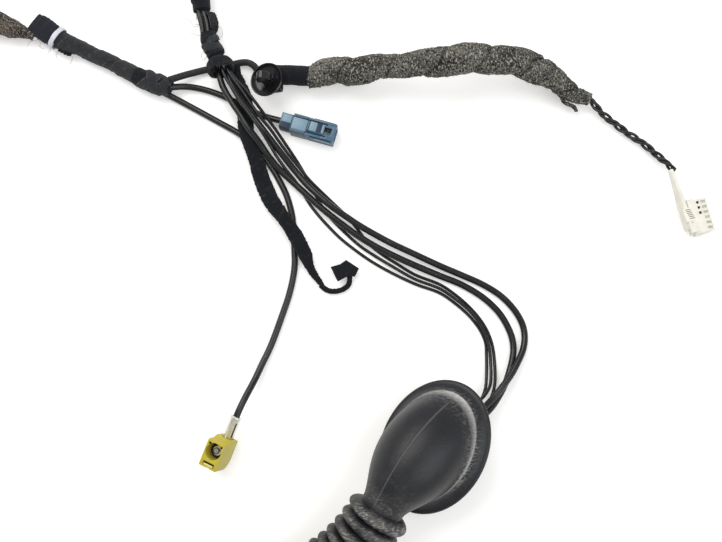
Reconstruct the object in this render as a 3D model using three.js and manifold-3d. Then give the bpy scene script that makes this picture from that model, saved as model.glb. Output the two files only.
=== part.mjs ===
// Vehicle wiring harness with a rubber boot, lying as it comes to rest on a flat surface.
// Millimetres, +Z up, the surface at Z = 0. Routes are laid out about the middle of the harness.
import * as THREE from 'three';
import { mergeVertices } from 'three/addons/utils/BufferGeometryUtils.js';
import Module from 'manifold-3d';

const wasm = await Module();
wasm.setup();

// Driving dimensions

const seatGap = 0.3; // running clearance between pieces that touch

const coaxDiameter = 3.1;
const wireDiameter = 1.5;
const twistWireDiameter = 1.4;
const clipLeadDiameter = 3.3;
const spurLeadDiameter = 2.4;

const boot = {
  place: [31.9, -80.6, 14.21],
  headingDeg: 240,
  pitchDeg: 12,
  rollDeg: 22,
  rimLength: 61.2,
  rimWidth: 49,
  skirtWidth: 5.4,
  skirtHeight: 5.2,
  bendGap: 4.5,
  neckDiameter: 19,
  wall: 1.8,
  grooveDepth: 4,
  grooveHeight: 2.6,
  lipHeight: 3,
  ribDiameter: 27.7,
  ribCount: 10,
  cuffLength: 13,
  cuffDiameter: 13.4,
  sides: 20,
};
const bellowsEnd = [-52, -146, 14.1];
const bellowsEndHeadingDeg = 195;
const bellowsReach = 30; // how far the bend at each end of the bellows reaches

const tailBundleDiameter = 8.6;
const tailBundleOut = 20; // taped bundle past the cuff
const collarBore = 10.6;
const collarWall = 0.7;
const collarLength = 7;

const tapeThickness = 0.8;

// Widths and heights of the left arm's wraps, from the junction outwards or from the band outwards
const leftTrunk = { widths: [9.2, 7.6, 7, 7.2, 8], heights: [7, 7, 7, 7, 7.6] };
const junctionWrap = { widths: [8.4, 9.8, 10.4, 9.2], heights: [8, 8.8, 8.8, 8.2] };
const leftFoam = {
  widths: [5, 9.5, 12.4, 12.8, 12.4, 12.8, 12],
  heights: [4.2, 7.6, 10, 10.6, 10.4, 10.8, 10.4],
};
const leftFlag = { widths: [10.2, 10.8, 10.4, 9.4], thickness: 2.4 };
const leftTailDiameter = 9;
const band = { place: [-146, 112.8, 4.55], headingDeg: -34, length: 2.6, bore: [10.6, 7.7], wall: 0.6 };

// Materials

function finish(color, roughness, metalness = 0) {
  return new THREE.MeshStandardMaterial({ color, roughness, metalness });
}

const rubber = finish(0x222324, 0.7);
const cableJacket = finish(0x161718, 0.42);
const clothTape = finish(0x17181b, 0.95);
const fleece = finish(0x5a5852, 1);
const foamSkin = finish(0x6a6055, 1);
const blackPlastic = finish(0x1b1b1c, 0.5);
const whitePlastic = finish(0xe9e8e2, 0.45);
const greyPlastic = finish(0xc9cbd0, 0.5);
const bluePlastic = finish(0x2b5573, 0.45);
const paleBluePlastic = finish(0x7e9bb8, 0.45);
const yellowPlastic = finish(0xb7a82a, 0.45);
const tinPlate = finish(0xb9b5a6, 0.35, 0.9);
const brassPlate = finish(0xb58f45, 0.35, 0.9);
const ivoryPlastic = finish(0xe6dfcb, 0.5);

// Geometry helpers

const upward = new THREE.Vector3(0, 0, 1);

function vector(place) {
  return new THREE.Vector3(...place);
}

function heading(degrees) {
  const angle = THREE.MathUtils.degToRad(degrees);
  return new THREE.Vector3(Math.cos(angle), Math.sin(angle), 0);
}

function routeCurve(places) {
  return new THREE.CatmullRomCurve3(places.map(vector), false, 'centripetal');
}

function outwardGeometry(points, faces) {
  let volume = 0;
  for (const [a, b, c] of faces) {
    volume += points[a].dot(new THREE.Vector3().crossVectors(points[b], points[c]));
  }
  const ordered = volume < 0 ? faces.map(([a, b, c]) => [a, c, b]) : faces;
  const geometry = new THREE.BufferGeometry().setFromPoints(points);
  geometry.setIndex(ordered.flat());
  geometry.computeVertexNormals();
  return geometry;
}

// Skins a list of equal rings: capped at both ends, or joined end to start as a ring does.
function loft(rings, joinsItself = false) {
  const sides = rings[0].length;
  const points = rings.flat();
  const faces = [];
  const spans = joinsItself ? rings.length : rings.length - 1;
  for (let ring = 0; ring < spans; ring += 1) {
    const here = ring * sides;
    const next = ((ring + 1) % rings.length) * sides;
    for (let side = 0; side < sides; side += 1) {
      const other = (side + 1) % sides;
      faces.push([here + side, here + other, next + other]);
      faces.push([here + side, next + other, next + side]);
    }
  }
  if (!joinsItself) {
    const lastRing = (rings.length - 1) * sides;
    for (let side = 1; side < sides - 1; side += 1) {
      faces.push([0, side + 1, side]);
      faces.push([lastRing, lastRing + side, lastRing + side + 1]);
    }
  }
  return outwardGeometry(points, faces);
}

function frameAt(curve, at) {
  const along = curve.getTangentAt(at);
  const side = new THREE.Vector3().crossVectors(along, upward).normalize();
  const lift = new THREE.Vector3().crossVectors(side, along);
  return { centre: curve.getPointAt(at), side, lift };
}

// A round or flattened bar along a curve. size(at) gives its width and height there.
function barAlong(curve, steps, sides, size) {
  const rings = [];
  for (let step = 0; step <= steps; step += 1) {
    const at = step / steps;
    const { centre, side, lift } = frameAt(curve, at);
    const ring = [];
    for (let index = 0; index < sides; index += 1) {
      const angle = (2 * Math.PI * index) / sides;
      const { width, height, turn = 0, swell = 0 } = size(at, angle);
      const across = Math.cos(angle) * (width / 2 + swell);
      const over = Math.sin(angle) * (height / 2 + swell);
      const sideways = across * Math.cos(turn) - over * Math.sin(turn);
      const raised = across * Math.sin(turn) + over * Math.cos(turn);
      ring.push(centre.clone().addScaledVector(side, sideways).addScaledVector(lift, raised));
    }
    rings.push(ring);
  }
  return loft(rings);
}

// Reads a value off evenly spread stations.
function spread(values, at) {
  const place = at * (values.length - 1);
  const first = Math.min(Math.floor(place), values.length - 2);
  const share = place - first;
  const smooth = share * share * (3 - 2 * share);
  return values[first] * (1 - smooth) + values[first + 1] * smooth;
}

function cable(places, diameter, pace = Math.max(3 * diameter, 6)) {
  const curve = routeCurve(places);
  const sides = 8;
  const section = new THREE.Shape();
  for (let side = 0; side < sides; side += 1) {
    const angle = (2 * Math.PI * side) / sides;
    const x = (Math.cos(angle) * diameter) / 2;
    const y = (Math.sin(angle) * diameter) / 2;
    if (side === 0) {
      section.moveTo(x, y);
    } else {
      section.lineTo(x, y);
    }
  }
  section.closePath();
  const steps = Math.max(3, Math.ceil(curve.getLength() / pace));
  return new THREE.ExtrudeGeometry(section, { steps, bevelEnabled: false, extrudePath: curve });
}

function block(length, width, height, x = 0, y = 0, z = 0) {
  const geometry = new THREE.BoxGeometry(length, width, height);
  return geometry.translate(x, y, z);
}

function rod(diameter, length, sides = 20) {
  return new THREE.CylinderGeometry(diameter / 2, diameter / 2, length, sides);
}

function alongX(geometry) {
  return geometry.rotateZ(-Math.PI / 2);
}

function alongZ(geometry) {
  return geometry.rotateX(Math.PI / 2);
}

function lathe(profile, sides) {
  const points = profile.map(([radius, height]) => new THREE.Vector2(radius, height));
  return alongZ(new THREE.LatheGeometry([...points], sides));
}

function asSolid(geometry) {
  const bare = geometry.clone();
  bare.deleteAttribute('normal');
  bare.deleteAttribute('uv');
  const merged = mergeVertices(bare, 1e-4);
  return new wasm.Manifold(new wasm.Mesh({
    numProp: 3,
    vertProperties: new Float32Array(merged.attributes.position.array),
    triVerts: new Uint32Array(merged.index.array),
  }));
}

function asGeometry(solid) {
  const mesh = solid.getMesh();
  const geometry = new THREE.BufferGeometry();
  geometry.setAttribute('position', new THREE.BufferAttribute(mesh.vertProperties, 3));
  geometry.setIndex(new THREE.BufferAttribute(mesh.triVerts, 1));
  geometry.computeVertexNormals();
  return geometry;
}

function carve(body, cuts) {
  let solid = asSolid(body);
  for (const cut of cuts) {
    solid = solid.subtract(asSolid(cut));
  }
  return asGeometry(solid);
}

function join(geometries) {
  let solid = asSolid(geometries[0]);
  for (const geometry of geometries.slice(1)) {
    solid = solid.add(asSolid(geometry));
  }
  return asGeometry(solid);
}

const harness = new THREE.Group();

function add(parent, name, geometry, material) {
  const mesh = new THREE.Mesh(geometry, material);
  mesh.name = name;
  parent.add(mesh);
  return mesh;
}

// Cable routes, laid by hand

const routes = {
  coaxLower: [
    [-68.3, 97, 8.4], [-65.2, 86.8, 8.9], [-60.9, 79.3, 8.7], [-56.6, 72.8, 8.5], [-52.3, 65.9, 8.3],
    [-48.1, 60.5, 7.2], [-43.6, 54.1, 5.2], [-38.4, 47.9, 3.9], [-33.2, 42.9, 3.5], [-27.7, 37.7, 3.5],
    [-22, 32.4, 3.5], [-15.9, 27.1, 3.5], [-9.3, 21.9, 3.5], [-2.3, 16.6, 3.5], [5.1, 11.9, 3.5],
    [12.5, 7.9, 3.5], [23.6, 2.7, 3.2], [36.6, -2.7, 2.2], [46.5, -6.7, 1.7], [56.3, -12.7, 1.6],
    [63.1, -19.2, 1.6], [66.9, -25.2, 1.6], [69.2, -31.1, 1.6], [69.8, -36.6, 1.8], [68.8, -42.6, 2.6],
    [67.3, -47.6, 3], [65.5, -52.2, 3.8], [62.5, -57.7, 5.2], [58.2, -63.6, 7.4], [53.4, -67.9, 9.8],
    [49.4, -70.4, 11.4], [46.4, -72.3, 12.4],
  ],
  coaxUpper: [
    [-64.9, 97.3, 7.6], [-62, 89.8, 8.6], [-58.1, 82.9, 8.5], [-53.7, 76.2, 8.5], [-49.2, 70.1, 8.4],
    [-44.7, 64.2, 8.3], [-40.3, 58.7, 6.6], [-35.6, 52.8, 5], [-30.5, 46.5, 4.2], [-25.3, 40.3, 4.6],
    [-19.8, 34.9, 5.2], [-14, 29.8, 5.4], [-7.4, 25.1, 5.2], [-0.5, 20.6, 4.4], [6.5, 16.6, 3.7],
    [14.4, 12.3, 3.6], [23.7, 7.9, 3.4], [36.7, 2, 2.2], [46.6, -2.2, 1.7], [56.5, -6.7, 1.6],
    [64.3, -11.7, 1.6], [70.1, -17.7, 1.6], [73.9, -24.2, 1.6], [75.1, -30.1, 1.8], [74.1, -36.7, 3],
    [71, -43.2, 4.8], [68, -48.3, 6.2], [63.8, -53.8, 7.6], [59.2, -59.2, 8.8], [54.7, -63.5, 10.8],
    [49.6, -67, 13.6], [45, -69.9, 15.1],
  ],
  wireMiddle: [
    [-66, 96.1, 11.5], [-63.4, 89.8, 11.3], [-58.9, 82.9, 11.1], [-54.5, 75.9, 11.1], [-50.3, 69.9, 11.1],
    [-46.7, 64.7, 10.8], [-42.9, 58.7, 9.3], [-39.3, 53.2, 5.7], [-34.7, 47.3, 2], [-30.7, 42.5, 0.9],
    [-27.1, 36.7, 0.9], [-24, 31.6, 0.9], [-20.2, 26.6, 0.9], [-15.5, 21.3, 0.9], [-9.8, 15.5, 0.9],
    [-3.7, 10.5, 0.9], [4.2, 4.8, 0.9], [13, -0.4, 0.9], [25.1, -6.3, 0.9], [36.6, -10.6, 0.9],
    [43.9, -15.7, 0.9], [50.3, -21.6, 0.9], [54.8, -27.7, 0.9], [57.2, -33.5, 0.9], [57.5, -39.7, 0.9],
    [57.2, -48.5, 1.8], [56.4, -54.4, 3.4], [54.2, -59.5, 5.8], [50, -64.4, 9], [45.4, -67, 11.4],
    [42.8, -68.4, 12.2],
  ],
  wireRight: [
    [-63.7, 96, 11.2], [-60.8, 90.8, 11.2], [-55.9, 84.2, 10.8], [-51.4, 77.5, 10.4], [-47.1, 71.4, 9.8],
    [-42.6, 66.1, 8.6], [-38.3, 60.2, 7], [-33.7, 54.2, 5.2], [-28.7, 48.2, 4.2], [-24, 42.5, 3.8],
    [-18.6, 37.3, 2.6], [-13.2, 32.3, 1.2], [-7.5, 26.8, 0.9], [-1.9, 20.1, 0.9], [3.7, 12.7, 0.9],
    [10.2, 7.4, 0.9], [16.4, 3.4, 0.9], [25.1, -1.9, 0.9], [36.7, -6.6, 0.9], [44, -11.6, 0.9],
    [50.1, -17.1, 0.9], [55.1, -23.1, 0.9], [58.3, -28.7, 0.9], [60.3, -34.9, 0.9], [61.1, -42.4, 1.2],
    [61, -50.8, 2.2], [60, -55.8, 3.4], [57.2, -61.4, 5.2], [53, -65.8, 7.8], [48.4, -68.4, 10],
    [44.1, -69.8, 11.3],
  ],
  wireOuter: [
    [-63.2, 97.1, 9.6], [-60.6, 92.2, 9.5], [-54.5, 85.4, 9], [-49.4, 78.8, 8.4], [-44.8, 72.7, 7.2],
    [-40.5, 67.1, 5.6], [-36.2, 61, 3.8], [-32, 55, 2.2], [-28.2, 49.1, 1], [-24.8, 43, 0.9],
    [-21.7, 36.9, 0.9], [-18.3, 30.7, 0.9], [-13.6, 24.4, 0.9], [-7.3, 17.9, 0.9], [-0.7, 11.9, 0.9],
    [6.5, 6.9, 1.2], [14.4, 1.9, 2], [25, -4.3, 2.4], [36.5, -8.8, 2.4], [43.8, -13.8, 2.4],
    [50.2, -19.4, 2.5], [54.6, -25.2, 2.5], [57.5, -31.1, 2.5], [58.8, -37.1, 2.4], [59.1, -43, 2.6],
    [59, -48.6, 4], [58.2, -53.4, 6], [55.2, -58.2, 8.4], [50.4, -62.2, 11.4], [45.4, -65.6, 13.8],
    [42.6, -68.1, 14.4],
  ],
  yellowCoax: [
    [-92.1, 84.9, 2.8], [-86.5, 82.1, 2], [-76.9, 76.9, 1.6], [-66.3, 70.9, 1.6], [-59, 66.7, 1.6],
    [-51.8, 61.5, 1.6], [-46.4, 55.1, 1.6], [-41.6, 48.4, 1.6], [-38.2, 42.4, 1.6], [-35.3, 36.5, 1.6],
    [-33.4, 30.7, 1.6], [-32.1, 24.9, 1.6], [-31.6, 18.2, 1.6], [-31, 9.7, 1.6], [-30.9, 1.1, 1.6],
    [-32.9, -10.1, 1.6], [-36.4, -21.3, 1.6], [-41.4, -35.4, 1.8], [-44.9, -43.2, 2.6],
    [-48.2, -51, 4.6], [-51.2, -57.4, 7], [-53.1, -61.6, 8.3], [-54.5, -64.8, 8.7], [-55.45, -67.1, 8.4],
  ],
  blueCoax: [
    [-91, 87.9, 5.1], [-83.7, 89, 3], [-75.8, 88.1, 1.8], [-67.6, 85.4, 1.6], [-59.8, 81.6, 1.6],
    [-53, 77.8, 1.6], [-46.2, 74.4, 2.6], [-38.7, 71.7, 4.4],
  ],
  clipLead: [
    [-89.5, 91.8, 6.1], [-85.4, 94, 4.2], [-79.7, 96.4, 2.4], [-72.7, 98.4, 1.7], [-65.5, 99.5, 1.7],
    [-58.3, 101.3, 2.2], [-54, 101, 3.2], [-50.6, 98.4, 3.8], [-48.6, 94.3, 3],
  ],
  spur: [
    [-59.2, 98.2, 6.2], [-59.3, 94.2, 4.9], [-58, 89.3, 4.7], [-55.9, 83.6, 5], [-55.1, 78.2, 5],
    [-54.7, 73.2, 5], [-54.4, 68.3, 5], [-53.2, 62.6, 4.9], [-51, 56.9, 4.8], [-48.8, 50.2, 3.9],
    [-46.9, 44.2, 2.8], [-44.6, 38, 3.2], [-41.7, 32.2, 4.3], [-38.9, 28, 4.9], [-36.3, 24.4, 5.2],
    [-31.6, 17.7, 5.2], [-29.2, 13.4, 5.2], [-26.7, 8.9, 5.2], [-25.2, 5.2, 4.9], [-23.9, 1.8, 4.2],
    [-22.4, -0.9, 3.2], [-20.7, -3.4, 2.4], [-18.2, -6.7, 1.8],
  ],
  spurLead: [
    [-17.9, -7.6, 1.6], [-15.3, -9.4, 1.5], [-11.8, -9.8, 1.5], [-8, -8.7, 1.5], [-5.7, -6.6, 1.8],
    [-5.4, -4.2, 2.2],
  ],
  twist: [
    [109.5, 80.8, 5.2], [113.5, 76.3, 4.6], [120.1, 70.5, 3.6], [128.5, 64.5, 3], [137.5, 57.2, 3.4],
    [145.2, 47.8, 6.4],
  ],
  leftTrunk: [
    [-145.8, 112.6, 4.5], [-140, 110.1, 4.3], [-132.7, 106.9, 4.3], [-119.8, 100.5, 4.3],
    [-107.5, 94.1, 4.5],
  ],
  junction: [[-107.1, 93.9, 4.6], [-100.6, 90.9, 5], [-91.9, 87.9, 4.8]],
  leftFoam: [
    [-161, 114.9, 5], [-164.8, 116.6, 6], [-173.8, 119.5, 6.7], [-190.4, 123.8, 6.8],
    [-209.9, 127.4, 6.8], [-227.9, 129.9, 6.8],
  ],
  leftTail: [[-228.3, 130, 6.8], [-238, 130.9, 6.8]],
  tapeFlag: [[-156.8, 121.6, 4.6], [-152.4, 117.9, 4.8], [-148.7, 114.6, 4.7], [-146.6, 113.2, 4.6]],
  branchTape: [[-37.1, 93.3, 7.2], [-24.4, 92.3, 8.5]],
  branchFoam: [
    [-23.2, 92.4, 8.6], [-16.6, 93.7, 9.4], [-8, 94, 10.6], [-0.5, 93.7, 12], [8.9, 94.4, 14],
    [18.2, 94.8, 16], [32.1, 95, 18], [44.6, 96.8, 18.5], [54.9, 97.1, 18], [64.8, 97, 17.2],
    [74.3, 95.9, 15.6], [85.5, 92.7, 12.6], [94.8, 86.9, 9.6], [102.8, 83.4, 7], [108.3, 81.7, 5.4],
  ],
  upperWrap: [[-73, 113, 9], [-71.2, 107.4, 9.4], [-68.7, 102.2, 9.3]],
  topSleeve: [[-76.3, 125.5, 8], [-78.1, 137.1, 8], [-80.1, 152.1, 7], [-81, 163, 6.6]],
};

// Rubber boot

function bootTurn() {
  const pitch = THREE.MathUtils.degToRad(boot.pitchDeg);
  const roll = THREE.MathUtils.degToRad(boot.rollDeg);
  const head = THREE.MathUtils.degToRad(boot.headingDeg);
  return new THREE.Matrix4()
    .makeRotationFromEuler(new THREE.Euler(roll, pitch, head, 'ZYX'))
    .setPosition(...boot.place);
}

const bootMatrix = bootTurn();
const ridgeLength = boot.rimLength - 2 * boot.skirtWidth;
const ridgeWidth = boot.rimWidth - 2 * boot.skirtWidth;
const pivotX = ridgeLength / 2 + boot.bendGap;
const neckHeight = boot.skirtHeight + boot.bendGap + boot.neckDiameter / 2;
const neckPlace = new THREE.Vector3(pivotX, 0, neckHeight).applyMatrix4(bootMatrix);
const neckAlong = new THREE.Vector3(1, 0, 0).transformDirection(bootMatrix);

function bellowsCurve() {
  const end = vector(bellowsEnd);
  const endAlong = heading(bellowsEndHeadingDeg);
  return new THREE.CubicBezierCurve3(
    neckPlace,
    neckPlace.clone().addScaledVector(neckAlong, bellowsReach),
    end.clone().addScaledVector(endAlong, -bellowsReach),
    end,
  );
}

const bellows = bellowsCurve();
const bellowsLength = bellows.getLength();

function mouthRing(length, width, height) {
  const ring = [];
  for (let side = 0; side < boot.sides; side += 1) {
    const angle = (2 * Math.PI * side) / boot.sides;
    const x = (Math.cos(angle) * length) / 2;
    const y = (Math.sin(angle) * width) / 2;
    ring.push(new THREE.Vector3(x, y, height).applyMatrix4(bootMatrix));
  }
  return ring;
}

// The dome is a fan of sections that turn about a line beside the neck, from mouth to neck.
function domeRing(turnDeg, inset) {
  const turn = THREE.MathUtils.degToRad(turnDeg);
  const fullReach = boot.neckDiameter + (ridgeLength - boot.neckDiameter) * (1 - Math.sin(turn)) ** 0.88;
  const neckHalf = boot.neckDiameter / 2;
  const halfWidth = neckHalf + (ridgeWidth / 2 - neckHalf) * Math.cos(turn) ** 1.58 - inset;
  const near = boot.bendGap + inset;
  const far = boot.bendGap + fullReach - inset;
  const ring = [];
  for (let side = 0; side < boot.sides; side += 1) {
    const angle = (2 * Math.PI * side) / boot.sides;
    const reach = (near + far) / 2 - (Math.cos(angle) * (far - near)) / 2;
    const x = pivotX - reach * Math.cos(turn);
    const z = boot.skirtHeight + reach * Math.sin(turn);
    ring.push(new THREE.Vector3(x, Math.sin(angle) * halfWidth, z).applyMatrix4(bootMatrix));
  }
  return ring;
}

function bellowsRings(stations) {
  const rings = [];
  const sideStart = new THREE.Vector3(0, 1, 0).transformDirection(bootMatrix);
  let side = sideStart;
  for (const [distance, diameter] of stations) {
    const at = Math.min(1, distance / bellowsLength);
    const along = bellows.getTangentAt(at);
    side = side.clone().addScaledVector(along, -side.dot(along)).normalize();
    const lift = new THREE.Vector3().crossVectors(along, side);
    const centre = bellows.getPointAt(at);
    const ring = [];
    for (let index = 0; index < boot.sides; index += 1) {
      const angle = (2 * Math.PI * index) / boot.sides;
      const point = centre.clone();
      point.addScaledVector(side, (Math.sin(angle) * diameter) / 2);
      point.addScaledVector(lift, (-Math.cos(angle) * diameter) / 2);
      ring.push(point);
    }
    rings.push(ring);
  }
  return rings;
}

const ribRise = (boot.ribDiameter - boot.neckDiameter) / 2;
const ribsStart = 1.2;
const cuffStart = bellowsLength - boot.cuffLength;
const ribPitch = (cuffStart - ribsStart) / boot.ribCount;

function bellowsOutside() {
  const stations = [];
  for (let rib = 0; rib < boot.ribCount; rib += 1) {
    const start = ribsStart + rib * ribPitch;
    stations.push([start, boot.neckDiameter]);
    stations.push([start + ribPitch * 0.2, boot.neckDiameter + ribRise * 1.35]);
    stations.push([start + ribPitch * 0.5, boot.ribDiameter]);
    stations.push([start + ribPitch * 0.8, boot.neckDiameter + ribRise * 1.35]);
  }
  const beadRise = 2.4;
  stations.push([cuffStart, boot.neckDiameter]);
  stations.push([cuffStart + 2, boot.cuffDiameter]);
  stations.push([cuffStart + 8, boot.cuffDiameter]);
  stations.push([cuffStart + 9.5, boot.cuffDiameter + beadRise]);
  stations.push([cuffStart + 11.5, boot.cuffDiameter + beadRise]);
  stations.push([bellowsLength, boot.cuffDiameter + 0.6]);
  return stations;
}

function bellowsInside() {
  const rootBore = boot.neckDiameter - 2 * boot.wall;
  const ribBore = boot.ribDiameter - 2 * boot.wall;
  const cuffBore = tailBundleDiameter + 2 * seatGap;
  const stations = [[bellowsLength, cuffBore], [cuffStart + 2.4, cuffBore], [cuffStart, rootBore]];
  for (let rib = boot.ribCount - 1; rib >= 0; rib -= 1) {
    const start = ribsStart + rib * ribPitch;
    stations.push([start + ribPitch / 2, ribBore]);
    stations.push([start, rootBore]);
  }
  return stations;
}

function bootGeometry() {
  const lip = boot.grooveHeight + boot.lipHeight;
  const grooveLength = boot.rimLength - 2 * boot.grooveDepth - 2;
  const grooveWidth = boot.rimWidth - 2 * boot.grooveDepth - 2;
  const lipLength = boot.rimLength - 5;
  const lipWidth = boot.rimWidth - 5;
  const boreLength = ridgeLength - 2 * boot.wall;
  const boreWidth = ridgeWidth - 2 * boot.wall;
  const rings = [
    mouthRing(lipLength - 4, lipWidth - 4, -lip),
    mouthRing(lipLength, lipWidth, -boot.grooveHeight - 0.8),
    mouthRing(lipLength - 1, lipWidth - 1, -boot.grooveHeight),
    mouthRing(grooveLength, grooveWidth, -boot.grooveHeight),
    mouthRing(grooveLength, grooveWidth, -0.4),
    mouthRing(boot.rimLength - 0.6, boot.rimWidth - 0.6, -0.4),
    mouthRing(boot.rimLength, boot.rimWidth, 0.4),
    mouthRing(boot.rimLength - 1, boot.rimWidth - 1, 1.4),
    mouthRing(ridgeLength + 3, ridgeWidth + 3, boot.skirtHeight - 1.2),
    mouthRing(ridgeLength + 0.6, ridgeWidth + 0.6, boot.skirtHeight),
  ];
  for (const turn of [6, 15, 25, 36, 48, 60, 75]) {
    rings.push(domeRing(turn, 0));
  }
  rings.push(...bellowsRings([[0, boot.neckDiameter], ...bellowsOutside(), ...bellowsInside()]));
  for (const turn of [90, 68, 50, 32, 16, 4]) {
    rings.push(domeRing(turn, boot.wall));
  }
  rings.push(mouthRing(boreLength - 2, boreWidth - 2, 0));
  rings.push(mouthRing(boreLength - 2, boreWidth - 2, -lip + 0.6));
  return loft(rings, true);
}

add(harness, 'boot', bootGeometry(), rubber);

// Taped bundle that runs from the boot's mouth through the bellows, with a plain plug on its end

const mouthMeet = [44.6, -70.6, 13.1];
const mouthAlong = new THREE.Vector3(-0.69, -0.7, 0.2).normalize();
const tailEndAlong = heading(bellowsEndHeadingDeg);
const tailEnd = vector(bellowsEnd).addScaledVector(tailEndAlong, tailBundleOut);

function tailBundleCurve() {
  const start = vector(mouthMeet).addScaledVector(mouthAlong, seatGap);
  const inDome = new THREE.Vector3(4, 0, 11).applyMatrix4(bootMatrix);
  const inBellows = [0, 0.2, 0.4, 0.6, 0.8, 1].map((at) => bellows.getPointAt(at));
  return new THREE.CatmullRomCurve3(
    [start, start.clone().addScaledVector(mouthAlong, 6), inDome, ...inBellows, tailEnd],
    false,
    'centripetal',
  );
}

function plug(parent, prefix, place, along) {
  const length = 24;
  const width = 17;
  const height = 12;
  const collarReach = 4;
  const latchLength = 11;
  const wayWidth = 1.5;
  const wayDepth = 5;
  const front = collarReach + length + seatGap;
  const group = new THREE.Group();
  group.position.copy(place);
  group.rotation.z = Math.atan2(along.y, along.x);
  parent.add(group);
  const body = block(length, width, height, collarReach + length / 2 + seatGap, 0, 0);
  const rearCollar = block(collarReach + 1, width - 4, height - 3, collarReach / 2 + seatGap + 0.5, 0, 0);
  const latch = block(latchLength, 5, 1.6, front - 4 - latchLength / 2, 0, height / 2 + 0.5);
  const ways = [];
  for (const z of [-2, 2]) {
    for (const y of [-4.8, -1.6, 1.6, 4.8]) {
      ways.push(block(2 * wayDepth, wayWidth, wayWidth, front, y, z));
    }
  }
  add(group, `${prefix}_connector`, carve(join([body, rearCollar, latch]), ways), blackPlastic);
}

function tailPieces() {
  const curve = tailBundleCurve();
  const round = { width: tailBundleDiameter, height: tailBundleDiameter };
  add(harness, 'tail_bundle', barAlong(curve, 28, 12, () => round), clothTape);
  plug(harness, 'tail', tailEnd, tailEndAlong);
}

tailPieces();

// Main bundle: two coaxial cables and three thin wires from the collar to the boot

function mainBundle() {
  add(harness, 'coax_lower', cable(routes.coaxLower, coaxDiameter), cableJacket);
  add(harness, 'coax_upper', cable(routes.coaxUpper, coaxDiameter), cableJacket);
  add(harness, 'wire_middle', cable(routes.wireMiddle, wireDiameter), cableJacket);
  add(harness, 'wire_right', cable(routes.wireRight, wireDiameter), cableJacket);
  add(harness, 'wire_outer', cable(routes.wireOuter, wireDiameter), cableJacket);
}

mainBundle();

// Collar where the main bundle leaves the upper taping, and the cables bare above it

const collarPlace = [-66.8, 97.4, 9.8];
const collarAlong = new THREE.Vector3(0.22, -0.95, 0.22).normalize();

function turnTo(along) {
  return new THREE.Quaternion().setFromUnitVectors(new THREE.Vector3(0, 0, 1), along);
}

function place(mesh, at, along) {
  mesh.position.copy(Array.isArray(at) ? vector(at) : at);
  mesh.quaternion.copy(turnTo(along));
  return mesh;
}

function upperPieces() {
  const bore = collarBore / 2;
  const outer = bore + collarWall;
  const half = collarLength / 2;
  const collar = lathe([
    [bore, -half], [outer - 0.3, -half], [outer, -half + 0.6], [outer + 0.5, half - 1.4],
    [outer + 0.3, half], [bore, half], [bore, -half],
  ], 20);
  place(add(harness, 'bundle_collar', collar, clothTape), collarPlace, collarAlong);

  const wrapCurve = routeCurve(routes.upperWrap);
  add(harness, 'upper_tape_wrap', barAlong(wrapCurve, 8, 12, (at, angle) => ({
    width: spread([7.4, 9.6, 8.8, 9.2], at),
    height: spread([6.8, 7.4, 8.4, 9], at),
    turn: at * 2,
    swell: 0.3 * Math.cos(3 * angle + 9 * at),
  })), clothTape);

  const sleeveCurve = routeCurve(routes.topSleeve);
  add(harness, 'top_tape_sleeve', barAlong(sleeveCurve, 14, 12, (at, angle) => ({
    width: spread([8.2, 9.4, 9, 8.6, 8.8], at),
    height: spread([7.6, 8, 8.2, 8, 8], at),
    swell: 0.25 * Math.cos(angle - 30 * at),
  })), clothTape);

  const bareStarts = [[-78, 124.9, 6.2], [-75.4, 124.7, 8.6], [-77.8, 124.9, 9.8], [-73.6, 124.5, 6.6]];
  const bareEnds = [[-75.2, 113, 6.8], [-72.6, 113.8, 9.2], [-75, 113.5, 10.4], [-71.1, 114, 7.2]];
  const bareNames = ['bare_coax_left', 'bare_coax_right', 'bare_wire_left', 'bare_wire_right'];
  const bareDiameters = [coaxDiameter, coaxDiameter, wireDiameter, wireDiameter];
  bareNames.forEach((name, index) => {
    const start = vector(bareStarts[index]);
    const end = vector(bareEnds[index]);
    const middle = start.clone().lerp(end, 0.5).add(new THREE.Vector3(0.4, 0, 0.3));
    const route = [start.toArray(), middle.toArray(), end.toArray()];
    add(harness, name, cable(route, bareDiameters[index]), cableJacket);
  });

  const top = vector(routes.topSleeve.at(-1));
  plug(harness, 'top', top, new THREE.Vector3(-0.06, 1, 0));
}

// A band closed round something, with a bore of its own width and height
function hoop(centre, along, length, bore, wall) {
  const side = new THREE.Vector3().crossVectors(along, upward).normalize();
  const lift = new THREE.Vector3().crossVectors(side, along);
  const sides = 24;
  const ringAt = (offset, grow) => {
    const ring = [];
    for (let index = 0; index < sides; index += 1) {
      const angle = (2 * Math.PI * index) / sides;
      ring.push(centre.clone()
        .addScaledVector(along, offset)
        .addScaledVector(side, Math.cos(angle) * (bore[0] / 2 + grow))
        .addScaledVector(lift, Math.sin(angle) * (bore[1] / 2 + grow)));
    }
    return ring;
  };
  const half = length / 2;
  return loft([ringAt(-half, wall), ringAt(half, wall), ringAt(half, 0), ringAt(-half, 0)], true);
}

// A strip of tape that stands on edge or lies flat along a curve
function strip(places, steps, width, thickness, turnAt = () => 0) {
  const curve = routeCurve(places);
  const rings = [];
  for (let step = 0; step <= steps; step += 1) {
    const at = step / steps;
    const { centre, side, lift } = frameAt(curve, at);
    const turn = turnAt(at);
    const flat = side.clone().multiplyScalar(Math.cos(turn)).addScaledVector(lift, Math.sin(turn));
    const thick = lift.clone().multiplyScalar(Math.cos(turn)).addScaledVector(side, -Math.sin(turn));
    const wide = typeof width === 'function' ? width(at) : width;
    const ring = [[-1, -1], [1, -1], [1, 1], [-1, 1]].map(([across, over]) => centre
      .clone()
      .addScaledVector(flat, (across * wide) / 2)
      .addScaledVector(thick, (over * thickness) / 2));
    rings.push(ring);
  }
  return loft(rings);
}

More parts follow.
